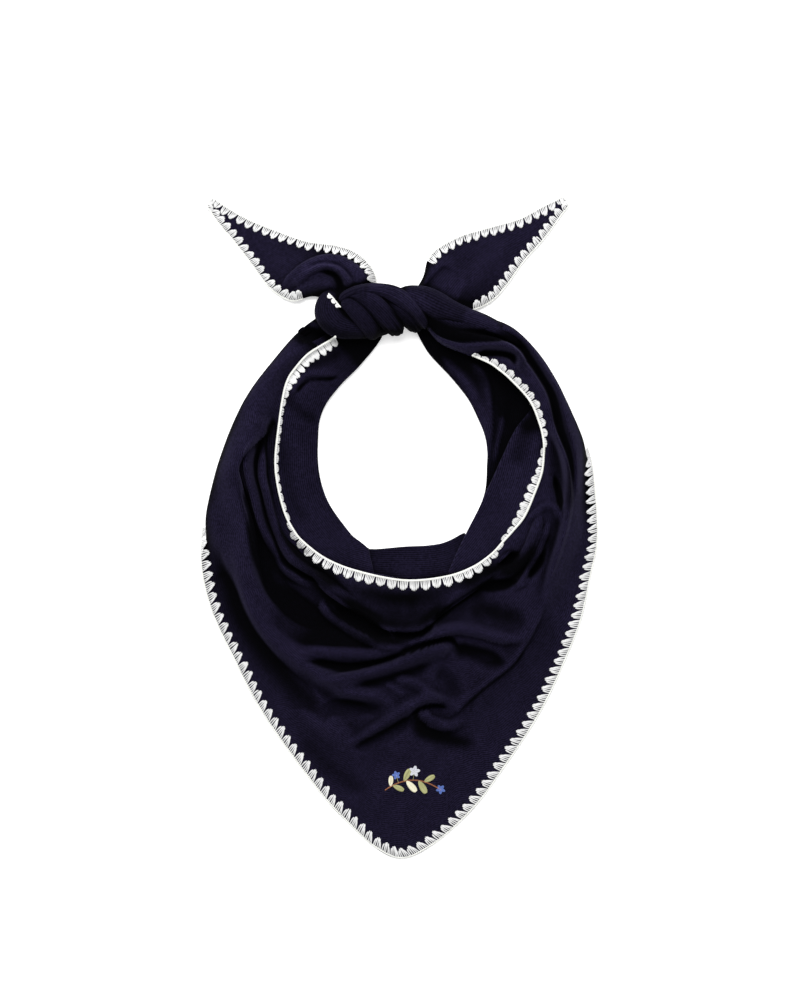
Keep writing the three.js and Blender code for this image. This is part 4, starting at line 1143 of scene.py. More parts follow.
NECK_BAND = (
    BandLayer("band_middle", (
        (-56, -16, -66, -50, 4, 7), (-30, -22, -40, -56, 4, 8), (2, -20, -2, -62, 4, 9),
        (40, -17, 48, -60, 4, 8), (64, -6, 84, -44, 4, 8)), (0.13, 0.05)),
    BandLayer("band_right_inner", (
        (15, 202, 34, 210, 5, 8), (29, 176, 70, 186, 5, 6), (51, 152, 104, 165, 5, 5),
        (70, 128, 134, 136, 5, 4), (81, 104, 147, 112, 5, 4), (88, 80, 150, 86, 4, 4),
        (88, 60, 148, 58, 4, 5), (86, 36, 138, 28, 4, 6), (78, 14, 118, -2, 3, 6)), (0.22, 0.055),
        (
            Fold("step of the innermost strip", 5, 3, 12, (
                (62, 170), (76, 162), (86, 150), (89, 130), (90, 110), (90, 92), (91, 78)), ROLL, SOFT,
                0.0, 0.2, 0.2),
            Fold("hollow behind the neckline", -3, 12, 10, (
                (84, 166), (100, 154), (109, 138), (112, 118), (108, 100))),
            Fold("narrow strip", 4, 3, 4, ((104, 118), (100, 98), (96, 80), (93, 62)), ROLL, SOFT),
        ), (
            Fold("inmost strip", 0.7, 9, 8, (
                (34, 184), (50, 162), (68, 142), (80, 116), (86, 84), (88, 56))),
            Fold("behind the neckline", -0.9, 18, 23, ((84, 170), (102, 150), (114, 120), (108, 96))),
        ), -0.3),
    BandLayer("band_left", (
        (-14, 206, -46, 216, 5, 8), (-21, 188, -68, 196, 5, 9), (-40, 164, -98, 178, 7, 13),
        (-63, 140, -119, 151, 7, 14), (-79, 116, -128, 118, 7, 14), (-83, 90, -132, 85, 7, 14),
        (-82, 56, -131, 48, 7, 14), (-73, 26, -124, 11, 7, 13), (-52, -4, -106, -16, 7, 12),
        (-40, -15, -72, -42, 7, 12), (-32, -21, -25, -54, 7, 12)), (0.30, 0.055),
        (
            Fold("small flap", 5, 12, 3, (
                (-110, 132), (-101, 144), (-91, 150), (-78, 152), (-68, 152), (-61, 157)),
                SOFT, ROLL, 0.0, 0.12, 0.3),
            Fold("crease by the flap", -6, 3, 5, (
                (-106, 134), (-93, 148), (-80, 150), (-68, 150), (-60, 153)), start=0.15),
        ), (
            Fold("under the knot", -0.6, 18, 18, (
                (-56, 200), (-46, 184), (-36, 168), (-38, 154)), start=0.1),
            Fold("above the flap", -0.5, 11, 11, ((-116, 146), (-98, 160), (-76, 168), (-54, 178))),
            Fold("bend at the trim", -0.35, 10, 10, ((-116, 138), (-106, 122), (-92, 112), (-80, 106))),
            Fold("beside the trim", -0.3, 12, 14, ((-118, 100), (-114, 60), (-104, 24), (-88, -2))),
            Fold("lower end", 0.25, 14, 14, ((-60, 4), (-46, -18), (-32, -34))),
        ), 0.12),
    BandLayer("band_right", (
        (135, 125, 142, 127, 12, 14), (127, 112, 146, 117, 12, 14.5), (116, 98, 148, 104, 11, 15),
        (105, 75, 152, 80, 9, 15), (97, 57, 152, 56, 8, 15), (88, 38, 148, 34, 8, 15),
        (80, 20, 138, 12, 8, 14), (70, 0, 120, -12, 8, 13), (60, -20, 98, -34, 9, 13),
        (49, -44, 66, -58, 10, 13)),
        (0.20, 0.05), (), (
            Fold("upper end", -0.85, 26, 26, ((138, 130), (132, 108), (126, 84)), start=0.05, end=0.5),
            Fold("upper part", -0.45, 18, 18, ((128, 112), (121, 86), (114, 60))),
            Fold("beside the trim", -0.6, 18, 18, ((146, 100), (148, 60), (140, 24), (118, -8))),
            Fold("lower end", 0.3, 16, 16, ((84, 16), (72, -12), (58, -36))),
        )),
)


# The knot

@dataclass
class Strand:
    """A strand of gathered cloth in the knot.

    rows: centre x and y, half width, height of the centre and half depth. grooves: how deep the
    gathers along it are, as a share of its size.
    """

    name: str
    rows: tuple
    flat_size: tuple[float, float]
    grooves: float = 0.045
    seed: int = 1
    sides: int = 64
    stations: int = 72
    gathers: tuple = ((5, 0.8), (9, 1.0), (14, 0.8), (21, 0.5))     # waves round it, and depth
    drift: float = 1.5          # radians that the waves turn along it, at most
    fade_middle: float = 0.6    # the gathers fade along it round this by the rest of 1
    fade_waves: tuple[float, float] = (0.5, 1.5)
    blunt: int = 16             # power that rounds the ends
    least_end: float = 0.02     # square of the size that is left at the ends
    ground: float = 0.5         # height that it doesn't go below

    def shape(self) -> Shape:
        """An oval tube along the centre line. Its size is a sum of waves round it that drift
        slowly along it, so that gathers run lengthwise."""
        rows = curve_through(self.rows, self.stations)
        path = rows[None, :, [0, 1, 3]]
        angle = 2 * pi * np.arange(self.sides) / self.sides
        along = np.linspace(0, 1, self.stations)[:, None]
        draw = np.random.default_rng(self.seed)
        swell = np.ones((self.stations, self.sides))
        for waves, depth in self.gathers:
            drift = draw.uniform(-self.drift, self.drift) * along + draw.uniform(0, 2 * pi)
            phase = 2 * pi * along * draw.uniform(*self.fade_waves) + draw.uniform(0, 2 * pi)
            fade = self.fade_middle + (1 - self.fade_middle) * np.sin(phase)
            swell += self.grooves * depth * fade * np.cos(waves * angle + drift)
        ends = np.sqrt(np.clip(1 - (2 * along[:, 0] - 1) ** self.blunt, self.least_end, 1))
        wide, deep = rows[None, :, 2] * ends, rows[None, :, 4] * ends
        return tubes(path, wide, deep, self.sides, swell[None])

    def place(self, knit: bpy.types.Material, heights: HeightMap) -> bpy.types.Object:
        """Builds the strand, lays it on the height map and puts it into the scene."""
        shape = self.shape()
        shape.points[:, 2] = np.maximum(shape.points[:, 2], self.ground)
        heights.cover_shape(shape)
        return place_piece(self.name, shape, [knit])


KNOT = (
    Strand("knot_left_lobe", (
        (-60, 231, 8, 14, 9), (-69, 226, 12, 18, 13), (-70, 214, 15, 21, 17), (-61, 203, 14, 22, 18),
        (-45, 199, 11, 20, 16), (-26, 200, 10, 17, 13), (-8, 203, 9, 14, 11)), (0.095, 0.045), 0.015, 5),
    Strand("knot_under_wrap", (
        (-14, 224, 8, 25, 12), (-2, 217, 10, 25, 15), (8, 209, 9, 21, 14), (14, 203, 8, 13, 11),
        (16, 201, 7, 5, 6)), (0.05, 0.042), 0.03, 7),
    Strand("knot_inner_wrap", (
        (-58, 223, 5, 27, 8), (-50, 221, 9, 29, 13), (-41, 213, 11, 29, 17), (-33, 204, 11, 25, 16),
        (-28, 197, 10, 16, 12), (-26, 195, 9, 7, 8)), (0.06, 0.048), 0.025, 2),
    Strand("knot_middle_wrap", (
        (-53, 230, 4, 28, 7), (-42, 231, 8, 30, 13), (-29, 225, 11, 31, 17), (-18, 215, 12, 29, 17),
        (-9, 205, 11, 23, 15), (-4, 199, 9, 14, 11), (-3, 197, 8, 6, 7)), (0.07, 0.052), 0.045, 3),
    Strand("knot_right_strand", (
        (-2, 236, 4, 24, 9), (10, 233, 9, 27, 12), (22, 228, 13, 27, 14), (36, 221, 14, 25, 14),
        (50, 215, 12, 23, 13), (66, 209.5, 10, 21, 12), (84, 203.5, 9, 19, 11), (100, 196.5, 7, 16, 10),
        (113, 188, 5, 12, 8), (120, 182, 3, 8, 5)), (0.125, 0.040), 0.015, 6),
    Strand("knot_top_wrap", (
        (-61, 224, 3, 25, 5), (-53, 231, 5, 29, 10), (-38, 236, 6, 31, 13), (-20, 236, 7, 32, 15),
        (-5, 231, 9, 32, 16), (8, 222, 9, 30, 15), (18, 211, 8, 25, 13), (23, 204, 7, 16, 10),
        (24, 202, 6, 8, 7)), (0.115, 0.042), 0.045, 4),
)


KNOT_LIFT = -0.75           # added to the relief of the knot's painted shade and light, which paints all of it darker
# strokes of painted shade and light on the knot
KNOT_SHADES = (
    Fold("right half", 0.65, 16, 16, ((-34, 238), (-10, 230), (10, 224), (40, 220)), start=0.1, end=0.3),
    Fold("right arm", 0.5, 14, 14, ((60, 212), (84, 204), (102, 194))),
    Fold("lower edge of the right arm", -0.8, 7, 8, (
        (32, 207), (50, 203), (70, 197), (90, 190), (106, 184))),
    Fold("lower edge", -0.3, 8, 8, ((-84, 206), (-60, 192), (-30, 190), (6, 196)), start=0.1),
)


# The tied ends

@dataclass
class TiedEnd(Sheet):
    """A free end of the scarf, from the knot to its tip.

    rows: lower edge x and y, upper edge x and y, and heights at the lower edge, between the
    edges and at the upper edge.
    """

    name: str
    rows: tuple
    folds: tuple[Fold, ...]
    flat_size: tuple[float, float]
    flat_area: float
    # strokes of painted shade and light
    shades: tuple[Fold, ...] = ()
    lift: float = 0.1               # added to the relief of its painted shade and light
    wall: float = 1.6
    lines_across: int = 64
    lines_along: int = 130
    rest: float = 1.9               # top of the cloth where it lies flat
    margin: float = 0.08            # the folds start this share of the width in from both edges
    ripple: Ripple = Ripple(0.35, 12, 24.0)
    grid: Points = field(init=False)

    def build(self) -> None:
        """Between its edges the sheet bows up by half a sine wave to the height between them."""
        table = np.array(self.rows, float)
        middle = (table[:, :2] + table[:, 2:4]) / 2
        rows = rows_at(table, places_by_length(middle, self.lines_along))
        share = np.linspace(0, 1, self.lines_across)[None, :, None]
        level = rows[:, None, :2] + (rows[:, None, 2:4] - rows[:, None, :2]) * share
        edge = rows[:, None, 4:5] + (rows[:, None, 6:7] - rows[:, None, 4:5]) * share
        bow = np.sin(pi * share)
        grid = np.concatenate([level, edge + bow * (rows[:, None, 5:6] - edge)], axis=-1)
        held = ease(share[..., 0] / self.margin) * ease((1 - share[..., 0]) / self.margin)
        held = np.broadcast_to(held, grid.shape[:2])
        for fold in self.folds:
            fold.add_to(grid, held)
        grid[..., 2] += self.ripple.at(grid[..., 0], grid[..., 1]) * held
        grid[..., 2] = np.maximum(grid[..., 2], self.rest)
        self.grid = grid


TIED_ENDS = (
    TiedEnd("tail_left", (
        (-52, 218, -22, 236, 10, 20, 12), (-84, 231, -26, 256, 8, 20, 10),
        (-108, 227, -41, 273, 5, 18, 7), (-130, 240, -63, 282, 3, 13, 4),
        (-147, 262, -92, 286, 2.6, 8, 3), (-165.5, 286, -124, 297, 2.4, 5, 2.6),
        (-182.5, 306, -156, 310.5, 2.2, 3.2, 2.4), (-192.5, 322, -187, 329, 2.2, 2.4, 2.2)), (
        Fold("outer arc", 7, 12, 5, (
            (-30, 240), (-38, 252), (-50, 262), (-64, 268), (-80, 267), (-96, 259), (-108, 249),
            (-120, 238)), SOFT, ROLL, -1.5, 0.1, 0.15),
        Fold("inner arc", 6, 4, 7, (
            (-50, 236), (-53, 248), (-60, 257), (-72, 261), (-86, 258), (-99, 248), (-110, 240)),
            ROLL, SOFT, 0.0, 0.1, 0.15),
        Fold("crease between the arcs", -5, 3, 3, (
            (-44, 242), (-50, 252), (-58, 260), (-70, 264), (-84, 263), (-96, 255))),
        Fold("fine crease", -3, 2, 2, ((-46, 246), (-52, 255), (-60, 262), (-70, 266))),
        Fold("pocket", -11, 6, 5, ((-58, 232), (-60, 243), (-65, 252), (-74, 256), (-84, 254)),
             start=0.15, end=0.3),
        Fold("lower lobe", 5, 9, 9, ((-64, 238), (-76, 242), (-92, 241), (-106, 236))),
    ), (0.19, 0.07), 0.0085, (
        Fold("arcs", 1.6, 12, 12, ((-34, 240), (-46, 254), (-64, 262), (-84, 260), (-104, 250))),
    )),
    TiedEnd("tail_right", (
        (50, 214, 12, 232, 10, 17, 12), (73, 218, 23, 250, 4, 13, 6), (93, 228, 31, 273, 2.8, 10, 3.4),
        (109, 246, 57, 290, 2.6, 7, 2.8), (124, 267, 89, 300, 2.4, 5, 2.4),
        (144, 289, 120, 309, 2.2, 4, 2.4),
        (158.5, 309, 142.5, 321, 2.2, 3, 2.2), (168.5, 322.5, 163, 330.5, 2.2, 2.4, 2.2)), (
        Fold("folded edge", 4, 16, 3, (
            (18, 236), (26, 247), (36, 258), (44, 263), (54, 258), (64, 250)), SOFT, ROLL, 0.0, 0.1, 0.4),
        Fold("soft rise", 2.5, 14, 14, ((60, 236), (84, 262), (110, 286))),
    ), (0.18, 0.065), 0.0080, (
        Fold("base", 0.7, 22, 24, ((20, 236), (40, 242), (62, 236)), start=0.05, end=0.05),
    )),
)


# The crocheted edging

@dataclass
class FanRun:
    """A run of crocheted fans with the cord along the hem.

    path: x, y, reach of the fans to the left of the path, below zero to the right, and the width
    of a fan along the hem. heights: the map of the cloth that fans and cord lie on.
    """

    path: Points
    heights: HeightMap
    lean: float = 0.0           # the inner end is this much further along the hem
    foot: float = 0.39          # half the fan at the cord, as a share of its width
    head: float = 0.25          # half of it at the inner end
    bulge: float = 1.9          # how late it narrows
    strands: int = 5
    strand_half: float = 0.68
    strand_sides: int = 6
    stations: int = 8
    cord_half: float = 0.55
    cord_sides: int = 8
    cord_twist: float = 4.0     # millimetres along the cord for a whole turn of its two plies
    cord_step: float = 0.8
    ply_radius: float = 0.5     # from the middle of the cord to that of a ply, in half widths
    even_passes: int = 6        # how often the cord's height is evened out
    steps_a_row: int = 40       # places for each row of the path, to count the fans
    shortest: float = 3.0
    steepest: float = 1.4       # rise of a strand from the hem for each millimetre out
    reach_range: tuple[float, float] = (0.93, 1.07)
    width_range: tuple[float, float] = (0.97, 1.03)
    lean_range: float = 0.5
    stray: float = 0.15         # how far a strand is usually off its place
    rounding: float = 0.24      # share of the reach that the outermost strands are short of
    seat: float = 0.75          # height of a strand over the cloth, in half widths
    arch: float = 0.5           # what the middle strand rises more half way out, in half widths
    arch_loss: float = 0.35     # what the outermost ones rise less than that
    uneven: float = 0.25        # random part of the height
    slim: float = 0.85          # thickness at the cord, as a share of a strand's
    swell: tuple[float, float, float] = (0.3, 0.25, 0.55)   # growth, where it starts, over what
    taper: tuple[float, float, float] = (0.4, 0.82, 0.18)   # loss at the inner end, likewise

    def side_vectors(self, line: Points) -> tuple[Points, Points]:
        """Directions along the hem and to its left, seen from above."""
        ahead = unit(np.gradient(line[:, :2], axis=0))
        return ahead, np.stack([-ahead[:, 1], ahead[:, 0]], axis=-1)

    def fan_places(self) -> tuple[Points, Points, Points]:
        """Middles of the fans with reach and width, and the directions there.

        The fans that come before a place are the length up to it, each bit of it divided by the
        width there, and the middles lie at whole numbers and a half of them.
        """
        line = curve_through(self.path, self.steps_a_row * len(self.path))
        steps = np.linalg.norm(np.diff(line[:, :2], axis=0), axis=1)
        before = np.r_[0, np.cumsum(steps / (line[1:, 3] + line[:-1, 3]) * 2)]
        count = max(2, round(before[-1]))
        middles = (np.arange(count) + 0.5) * before[-1] / count
        ahead, left = self.side_vectors(line)
        every = np.concatenate([line, ahead, left], axis=1)
        found = np.stack([np.interp(middles, before, column) for column in every.T], axis=1)
        return found[:, :4], found[:, 4:6], found[:, 6:8]

    def fans(self) -> Shape:
        """Every strand runs from the cord to the fan's inner end.

        Strand q of a fan, from -1 to 1, starts q feet along the hem and ends q heads and the lean
        along it. It goes there by a power of the way out, so that the fan narrows late. The inner
        end is rounded: its middle strands reach further, by the square of q. Each lies on the
        cloth and arches over its length. Where the cloth climbs more steeply than a strand may,
        the strand goes into it.
        """
        places, forward, side = self.fan_places()
        count = len(places)
        draw = np.random.default_rng(count)
        way = np.where(places[:, 2] < 0, -1.0, 1.0)
        reach = np.maximum(np.abs(places[:, 2]), self.shortest)
        reach = reach * draw.uniform(*self.reach_range, count)
        width = places[:, 3] * draw.uniform(*self.width_range, count)
        q = np.linspace(-1, 1, self.strands)[None, :, None]
        t = np.linspace(0, 1, self.stations)[None, None]
        late = t ** self.bulge
        half = (self.foot + (self.head - self.foot) * late) * width[:, None, None]
        shift = draw.uniform(-self.lean_range, self.lean_range, count)
        lean = (self.lean + shift)[:, None, None]
        stray = self.stray * draw.standard_normal((count, self.strands, 1))
        along = q * half + lean * t + stray
        out = reach[:, None, None] * t * (1 - self.rounding * q * q) * way[:, None, None]
        level = (
            places[:, None, None, :2] + along[..., None] * forward[:, None, None]
            + out[..., None] * side[:, None, None]
        )
        uneven = self.uneven * draw.random((count, self.strands, 1))
        arch = (self.arch - self.arch_loss * q * q) * np.sin(pi * t) + uneven
        cloth = self.heights.at(level[..., 0], level[..., 1])
        cloth = np.minimum(cloth, cloth[..., :1] + self.steepest * np.abs(out))
        height = cloth + self.strand_half * (self.seat + arch)
        paths = np.concatenate([level, height[..., None]], axis=-1)
        paths = paths.reshape(-1, self.stations, 3)
        swell, taper = (
            part * ease((t[0] - start) / over) for part, start, over in (self.swell, self.taper)
        )
        thick = np.broadcast_to(self.strand_half * (self.slim + swell - taper), paths.shape[:2])
        return tubes(paths, thick, thick, self.strand_sides)

    def cord(self) -> Shape:
        """Two plies that wind round each other along the hem."""
        count = int(curve_length(self.path) / self.cord_step)
        line = curve_through(self.path, count)
        _, left = self.side_vectors(line)
        turn = 2 * pi * self.cord_step / self.cord_twist * np.arange(count)
        centre = self.heights.at(line[:, 0], line[:, 1]) + self.cord_half
        for _ in range(self.even_passes):
            centre[1:-1] = (centre[:-2] + centre[1:-1] + centre[2:]) / 3
        radius = self.ply_radius * self.cord_half
        plies = []
        for phase in (0.0, pi):
            level = line[:, :2] + left * (radius * np.cos(turn + phase))[:, None]
            height = centre + radius * np.sin(turn + phase)
            plies.append(np.concatenate([level, height[:, None]], axis=-1))
        paths = np.stack(plies)
        half = np.full(paths.shape[:2], self.cord_half)
        shape = tubes(paths, half, half, self.cord_sides)
        shape.finish_index = np.ones(len(shape.faces), int)
        return shape


@dataclass
class Edging:
    """One piece of edging, in the place of a node."""

    node: str
    runs: tuple[FanRun, ...]

    def place(self, yarns: list[bpy.types.Material]) -> bpy.types.Object:
        """Builds the fans and the cord of all its runs, each of its own yarn."""
        parts = [part for run in self.runs for part in (run.fans(), run.cord())]
        piece = place_piece(f"{self.node}_yarn", joined(parts), yarns)
        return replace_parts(piece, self.node)


# x, y, reach and width of the fans
NECKLINE = np.array((
    (-64, 190, 8, 7.4), (-78, 182, 10, 7.4), (-93, 172, 10, 7.4), (-106, 157, 9.5, 7.6),
    (-112, 147, 9, 8), (-116, 133, 5, 8.6), (-120, 107, 2, 9.4), (-124, 70, 2, 9.6),
    (-122, 44, 2, 9.8), (-115, 16, 2.5, 10), (-106, -2, -5, 10.2), (-96, -14, -8, 10.4),
    (-73, -31, -9.5, 10.8), (-42, -43, -9.8, 11), (4, -52, -9.8, 11), (45, -48.5, -9.8, 10.8),
    (72, -39, -8.5, 10.4), (91, -26, -6, 10), (103, -13, 3, 9.8), (112, -3, 5, 9.6),
    (124, 12, 8.5, 9.6), (134, 35, 9, 9.6), (141, 55, 7, 9.6), (143, 72, 4, 9.6),
    (143, 86, -3.5, 9.6), (139, 104, -6, 9.6), (129, 127, -7.5, 9.6), (110, 148, -7.5, 9.6),
    (97, 159, -7, 9.4), (88, 165, -4.5, 9.2), (72, 172, -2.5, 9),
), float)

# The hem of the left end where it shows between the strands of the knot
KNOT_EDGING = np.array((
    (-59, 219, 3.5, 5.5), (-63, 224, 4, 5.5), (-67, 229, 4, 5.5), (-71, 233, 3, 5.5),
), float)

HIDDEN_SHARE = 0.06         # part of the front's hem at both ends over which the fans come out
HIDDEN_REACH = 0.3          # share of their reach that they have at the ends

END_FAN = (9.0, 9.0)        # reach and width of the fans on the tied ends
END_ROWS = 14               # of the path along each edge
TIP_REACH = (0.38, 2.4)     # at the tip a fan reaches so much of the end's width, and so far more


def front_hem(first: float, last: float, reach: float, widths: tuple[float, float]) -> Points:
    """The outer edge of the front between two rows, with the reach of its fans, which come out
    from under the rolled arms at both ends, and their width, from the first to the last."""
    count = int(2 * (last - first)) + 2
    share = np.linspace(0, 1, count)
    rows = rows_at(FRONT_ROWS, first + (last - first) * share)
    shown = ease(share / HIDDEN_SHARE) * ease((1 - share) / HIDDEN_SHARE)
    shown_reach = reach * (HIDDEN_REACH + (1 - HIDDEN_REACH) * shown)
    width = widths[0] + (widths[1] - widths[0]) * share
    return np.column_stack([rows[:, 2:4], shown_reach, width])


def end_hem(end: TiedEnd, first_high: float, first_low: float, high_first: bool) -> Points:
    """The hem of a tied end, out along one edge, round the tip and back along the other, so that
    the cloth is on the left all the way.

    Args:
        end: the tied end.
        first_high, first_low: row numbers where the yarn begins on the upper and lower edge.
        high_first: whether the way out is along the upper edge.

    Returns:
        The path of a FanRun.
    """
    table = np.array(end.rows, float)
    edges = []
    for first, column in ((first_high, 2), (first_low, 0)):
        rows = rows_at(table, np.linspace(first, len(table) - 1, END_ROWS))
        wide = np.linalg.norm(rows[:, :2] - rows[:, 2:4], axis=1)
        reach = np.minimum(END_FAN[0], TIP_REACH[0] * wide + TIP_REACH[1])
        width = np.full(END_ROWS, END_FAN[1])
        edges.append(np.column_stack([rows[:, column:column + 2], reach, width]))
    out, back = edges if high_first else edges[::-1]
    return np.concatenate([out, back[::-1]])


# The embroidery

@dataclass
class Sprig:
    """A generic sprig in satin stitch: a bowed stem with leaves and three small blossoms."""

    centre: tuple[float, float] = (13.0, -257.0)
    length: float = 56.0
    bow: float = 10.0
    thread: float = 0.22            # half the width of a stitch
    pitch: float = 1.55             # from stitch to stitch, in half widths
    fullness: float = 0.8           # below 1 a leaf is widest nearer to its root
    stitch_points: int = 5
    stitch_sides: int = 6
    cut_off: float = 0.02           # share of the arch that is left out at both ends
    seat: float = 0.6               # height over the cloth, in half widths
    arch: float = 1.2               # what the middle of a stitch rises more, likewise
    stem_points: int = 29
    stem_rows: tuple[float, float] = (-0.35, 0.35)
    overlap: float = 0.4            # of each stitch of the stem beyond the next
    stalk_points: int = 6
    leaf: tuple[float, float] = (13.0, 2.9)
    leaf_slant: float = 0.9
    petal: tuple[float, float] = (4.6, 1.5)
    petal_slant: float = 0.2
    petals: int = 5
    heart_radius: float = 0.5
    heart_step: float = 1.05        # radians round the heart from stitch to stitch
    # place on the stem, side, angle off the stem and size of each leaf
    leaves: tuple = (
        (0.10, 1, 1.0, 0.8), (0.14, -1, 0.9, 0.9), (0.34, 1, 0.9, 1.0), (0.38, -1, 1.0, 1.1),
        (0.60, -1, 0.9, 1.1), (0.70, 1, 0.8, 0.9),
    )
    # place on the stem, length of the stalk, angle off the stem and size of each blossom
    blossoms: tuple = ((0.24, 8.0, 1.5, 0.9), (0.50, 9.0, 1.4, 1.2), (0.96, 2.0, 0.2, 1.0))

    def on_stem(self, place: float) -> tuple[Points, float]:
        """A point of the bowed stem and the stem's angle there."""
        x = self.centre[0] + self.length * (place - 0.5)
        y = self.centre[1] + self.bow * (4 * place * (1 - place) - 0.5)
        return np.array([x, y]), float(np.arctan2(self.bow * 4 * (1 - 2 * place), self.length))

    def satin(self, root: Points, angle: float, size: tuple[float, float], slant: float) -> Points:
        """Side by side stitches that fill a leaf: each runs from the middle line out to the edge,
        whose half width is that of the leaf times the square root of a half sine wave.

        Returns:
            The end points of every stitch, (stitch, 2, xy).
        """
        count = int(size[0] / (self.pitch * self.thread))
        place = (np.arange(count) + 0.5) / count
        half = size[1] * np.sqrt(np.sin(pi * place ** self.fullness))
        ahead = np.array([np.cos(angle), np.sin(angle)])
        side = np.array([-ahead[1], ahead[0]])
        start = root + ahead * (place * size[0])[:, None]
        stitches = []
        for sign in (1, -1):
            end = start + sign * side * half[:, None] + ahead * (slant * half)[:, None]
            stitches.append(np.stack([start, end], axis=1))
        return np.concatenate(stitches)

    def threads(self, stitches: Points, colour: Thread, heights: HeightMap) -> Shape:
        """Stitches as thin tubes that arch over the cloth between their ends."""
        t = np.linspace(0, 1, self.stitch_points)[None, :, None]
        level = stitches[:, :1] + (stitches[:, 1:] - stitches[:, :1]) * t
        arch = np.sin(pi * np.clip(t, self.cut_off, 1 - self.cut_off))[..., 0]
        cloth = heights.at(level[..., 0], level[..., 1])
        height = cloth + self.thread * (self.seat + self.arch * arch)
        paths = np.concatenate([level, height[..., None]], axis=-1)
        half = np.full(paths.shape[:2], self.thread)
        shape = tubes(paths, half, half, self.stitch_sides)
        shape.finish_index = np.full(len(shape.faces), list(Thread).index(colour))
        return shape

    def place(self, heights: HeightMap) -> bpy.types.Object:
        """All the stitches as one piece, with a finish for each colour of thread."""
        parts = []
        line = np.array([self.on_stem(p)[0] for p in np.linspace(0, 1, self.stem_points)])
        for shift in self.stem_rows:
            stem = line + [0, shift]
            ends = stem[1:] + np.diff(stem, axis=0) * self.overlap
            stitches = np.stack([stem[:-1], ends], axis=1)
            parts.append(self.threads(stitches, Thread.RUST, heights))
        for number, (place, side, turn, size) in enumerate(self.leaves):
            root, angle = self.on_stem(place)
            leaf = (self.leaf[0] * size, self.leaf[1] * size)
            colour = Thread.OLIVE if number % 3 else Thread.CREAM
            stitches = self.satin(root, angle + side * turn, leaf, self.leaf_slant)
            parts.append(self.threads(stitches, colour, heights))
        for number, (place, stalk, turn, size) in enumerate(self.blossoms):
            root, angle = self.on_stem(place)
            ahead = np.array([np.cos(angle + turn), np.sin(angle + turn)])
            heart = root + ahead * stalk
            line = root + ahead * np.linspace(0, stalk, self.stalk_points)[:, None]
            stitches = np.stack([line[:-1], line[1:]], axis=1)
            parts.append(self.threads(stitches, Thread.OLIVE, heights))
            colour = Thread.GREY if number == 1 else Thread.BLUE
            petal = (self.petal[0] * size, self.petal[1] * size)
            for k in range(self.petals):
                way = angle + turn + 2 * pi * k / self.petals
                stitches = self.satin(heart, way, petal, self.petal_slant)
                parts.append(self.threads(stitches, colour, heights))
            around = np.arange(0, 2 * pi, self.heart_step)
            rim = heart + self.heart_radius * np.stack([np.cos(around), np.sin(around)], axis=1)
            stitches = np.stack([rim, np.roll(rim, len(rim) // 2, axis=0)], axis=1)
            parts.append(self.threads(stitches, Thread.CREAM, heights))
        finishes = [colour.material() for colour in Thread]
        piece = place_piece("sprig_stitches", joined(parts), finishes)
        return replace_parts(piece, "embroidery_sprig")


# The studio

@dataclass
class Studio:
    """Pale floor, soft light from above and a camera straight over the scarf."""

    middle: tuple[float, float] = (0.0, 0.028)     # what the middle of the picture looks at
    camera_height: float = 4.0
    seen_height: float = 1.0                        # metres of floor from top to bottom
    sensor: float = 36.0
    floor_size: float = 6.0
    floor_gap: float = 0.0003                       # between the floor and the scarf
    key_place: tuple[float, float, float] = (-0.35, 1.50, 2.50)
    key_size: float = 2.2
    key_power: float = 100.0
    world: float = 0.56

    def place_camera(self) -> None:
        """The lens sees the given height of floor from the camera's height."""
        data = bpy.data.cameras.new("camera")
        data.sensor_width = self.sensor
        data.lens = self.sensor * self.camera_height / self.seen_height
        camera = bpy.data.objects.new("camera", data)
        camera.location = (*self.middle, self.camera_height)
        bpy.context.scene.collection.objects.link(camera)
        bpy.context.scene.camera = camera

    def place_floor(self) -> None:
        """A square just under the scarf."""
        half = self.floor_size / 2
        mesh = bpy.data.meshes.new("floor")
        square = ((-half, -half), (half, -half), (half, half), (-half, half))
        mesh.from_pydata([(x, y, -self.floor_gap) for x, y in square], [], [(0, 1, 2, 3)])
        mesh.materials.append(FloorFinish().material())
        floor = bpy.data.objects.new("floor", mesh)
        bpy.context.scene.collection.objects.link(floor)
        floor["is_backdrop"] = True

    def place_lights(self) -> None:
        """One large soft light from above the knot, and an even white sky."""
        data = bpy.data.lights.new("key", "AREA")
        data.shape = "DISK"
        data.size = self.key_size
        data.energy = self.key_power
        light = bpy.data.objects.new("key", data)
        light.location = self.key_place
        aim = -np.array(self.key_place)
        light.rotation_euler = Vector(aim).to_track_quat("-Z", "Y").to_euler()
        bpy.context.scene.collection.objects.link(light)
        world = bpy.data.worlds.new("sky")
        world.use_nodes = True
        sky = world.node_tree.nodes["Background"]
        sky.inputs["Color"].default_value = (1.0, 1.0, 1.0, 1.0)
        sky.inputs["Strength"].default_value = self.world
        bpy.context.scene.world = world
        bpy.context.scene.view_settings.view_transform = "Standard"

    def place(self) -> None:
        """Camera, floor and lights."""
        self.place_camera()
        self.place_floor()
        self.place_lights()


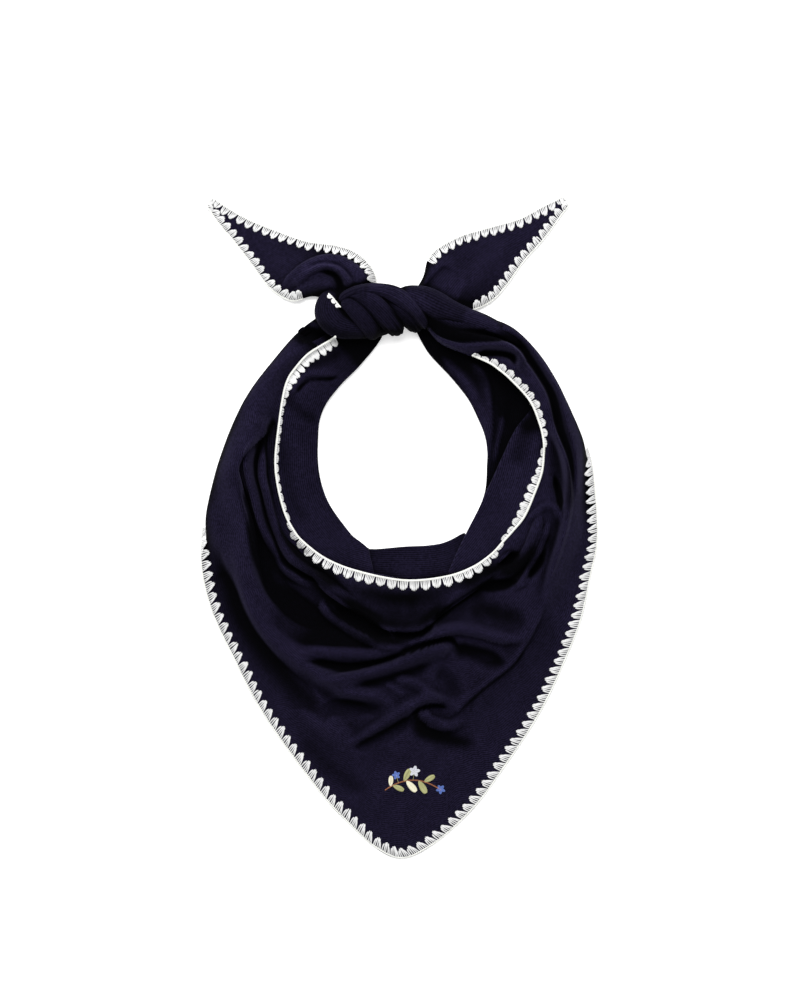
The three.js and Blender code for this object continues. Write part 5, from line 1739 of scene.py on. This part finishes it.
def main() -> None:
    """Builds the scarf piece by piece and sets the studio."""
    logging.basicConfig(level=logging.INFO, format="%(name)s %(message)s")
    cad_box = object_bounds()
    Studio().place()
    knit = KnitFinish().material()
    yarns = [
        # the fans' yarn is the cord's white yarn painted darker, for the shade between its strands
        YarnFinish("fan_yarn_with_painted_shade", (0.52, 0.52, 0.52), (0.80, 0.80, 0.80)).material(),
        YarnFinish("cord_yarn", (0.66, 0.66, 0.62), (0.87, 0.88, 0.83)).material(),
    ]
    heights = HeightMap()
    end_heights = HeightMap()           # of the tied ends and the lobe of the knot beside them

    front = FrontDrape()
    front_piece = front.place(knit, heights)
    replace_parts(front_piece, "scarf_cloth")
    cloth = [(front_piece, front.lift, FRONT_SHADES)]
    for layer in NECK_BAND:
        piece = layer.place(knit, heights)
        cloth.append((piece, layer.lift, layer.shades))
    for end in TIED_ENDS:
        piece = end.place(knit, heights)
        end_heights.cover(end.grid)
        cloth.append((piece, end.lift, end.shades))
    for strand in KNOT:
        piece = strand.place(knit, heights)
        cloth.append((piece, KNOT_LIFT, KNOT_SHADES))
    end_heights.cover_shape(KNOT[0].shape())

    left_end, right_end = TIED_ENDS
    sides = front_hem(first=7.15, last=25.85, reach=10.2, widths=(11.4, 9.4))
    left_hem = end_hem(left_end, first_high=0.45, first_low=1.5, high_first=True)
    right_hem = end_hem(right_end, first_high=1.7, first_low=1.0, high_first=False)
    edgings = (
        Edging("edging_sides", (FanRun(sides, heights, lean=-3.4, head=0.20),)),
        Edging("edging_neckline", (
            FanRun(NECKLINE, heights, head=0.33, strands=6, cord_half=0.85),)),
        Edging("edging_left_tail", (
            FanRun(left_hem, end_heights, lean=1.4), FanRun(KNOT_EDGING, heights))),
        Edging("edging_right_tail", (FanRun(right_hem, end_heights, lean=1.4),)),
    )
    # painted shade and light on every piece of knit
    for piece, lift, shades in cloth:
        heights.mark_nap(piece, lift, shades)
    trims = [edging.place(yarns) for edging in edgings]
    sprig = Sprig().place(heights)
    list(trims[:2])
    [[list(corner) for corner in box] for box in (cad_box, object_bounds())]


if __name__ == "__main__":
    main()
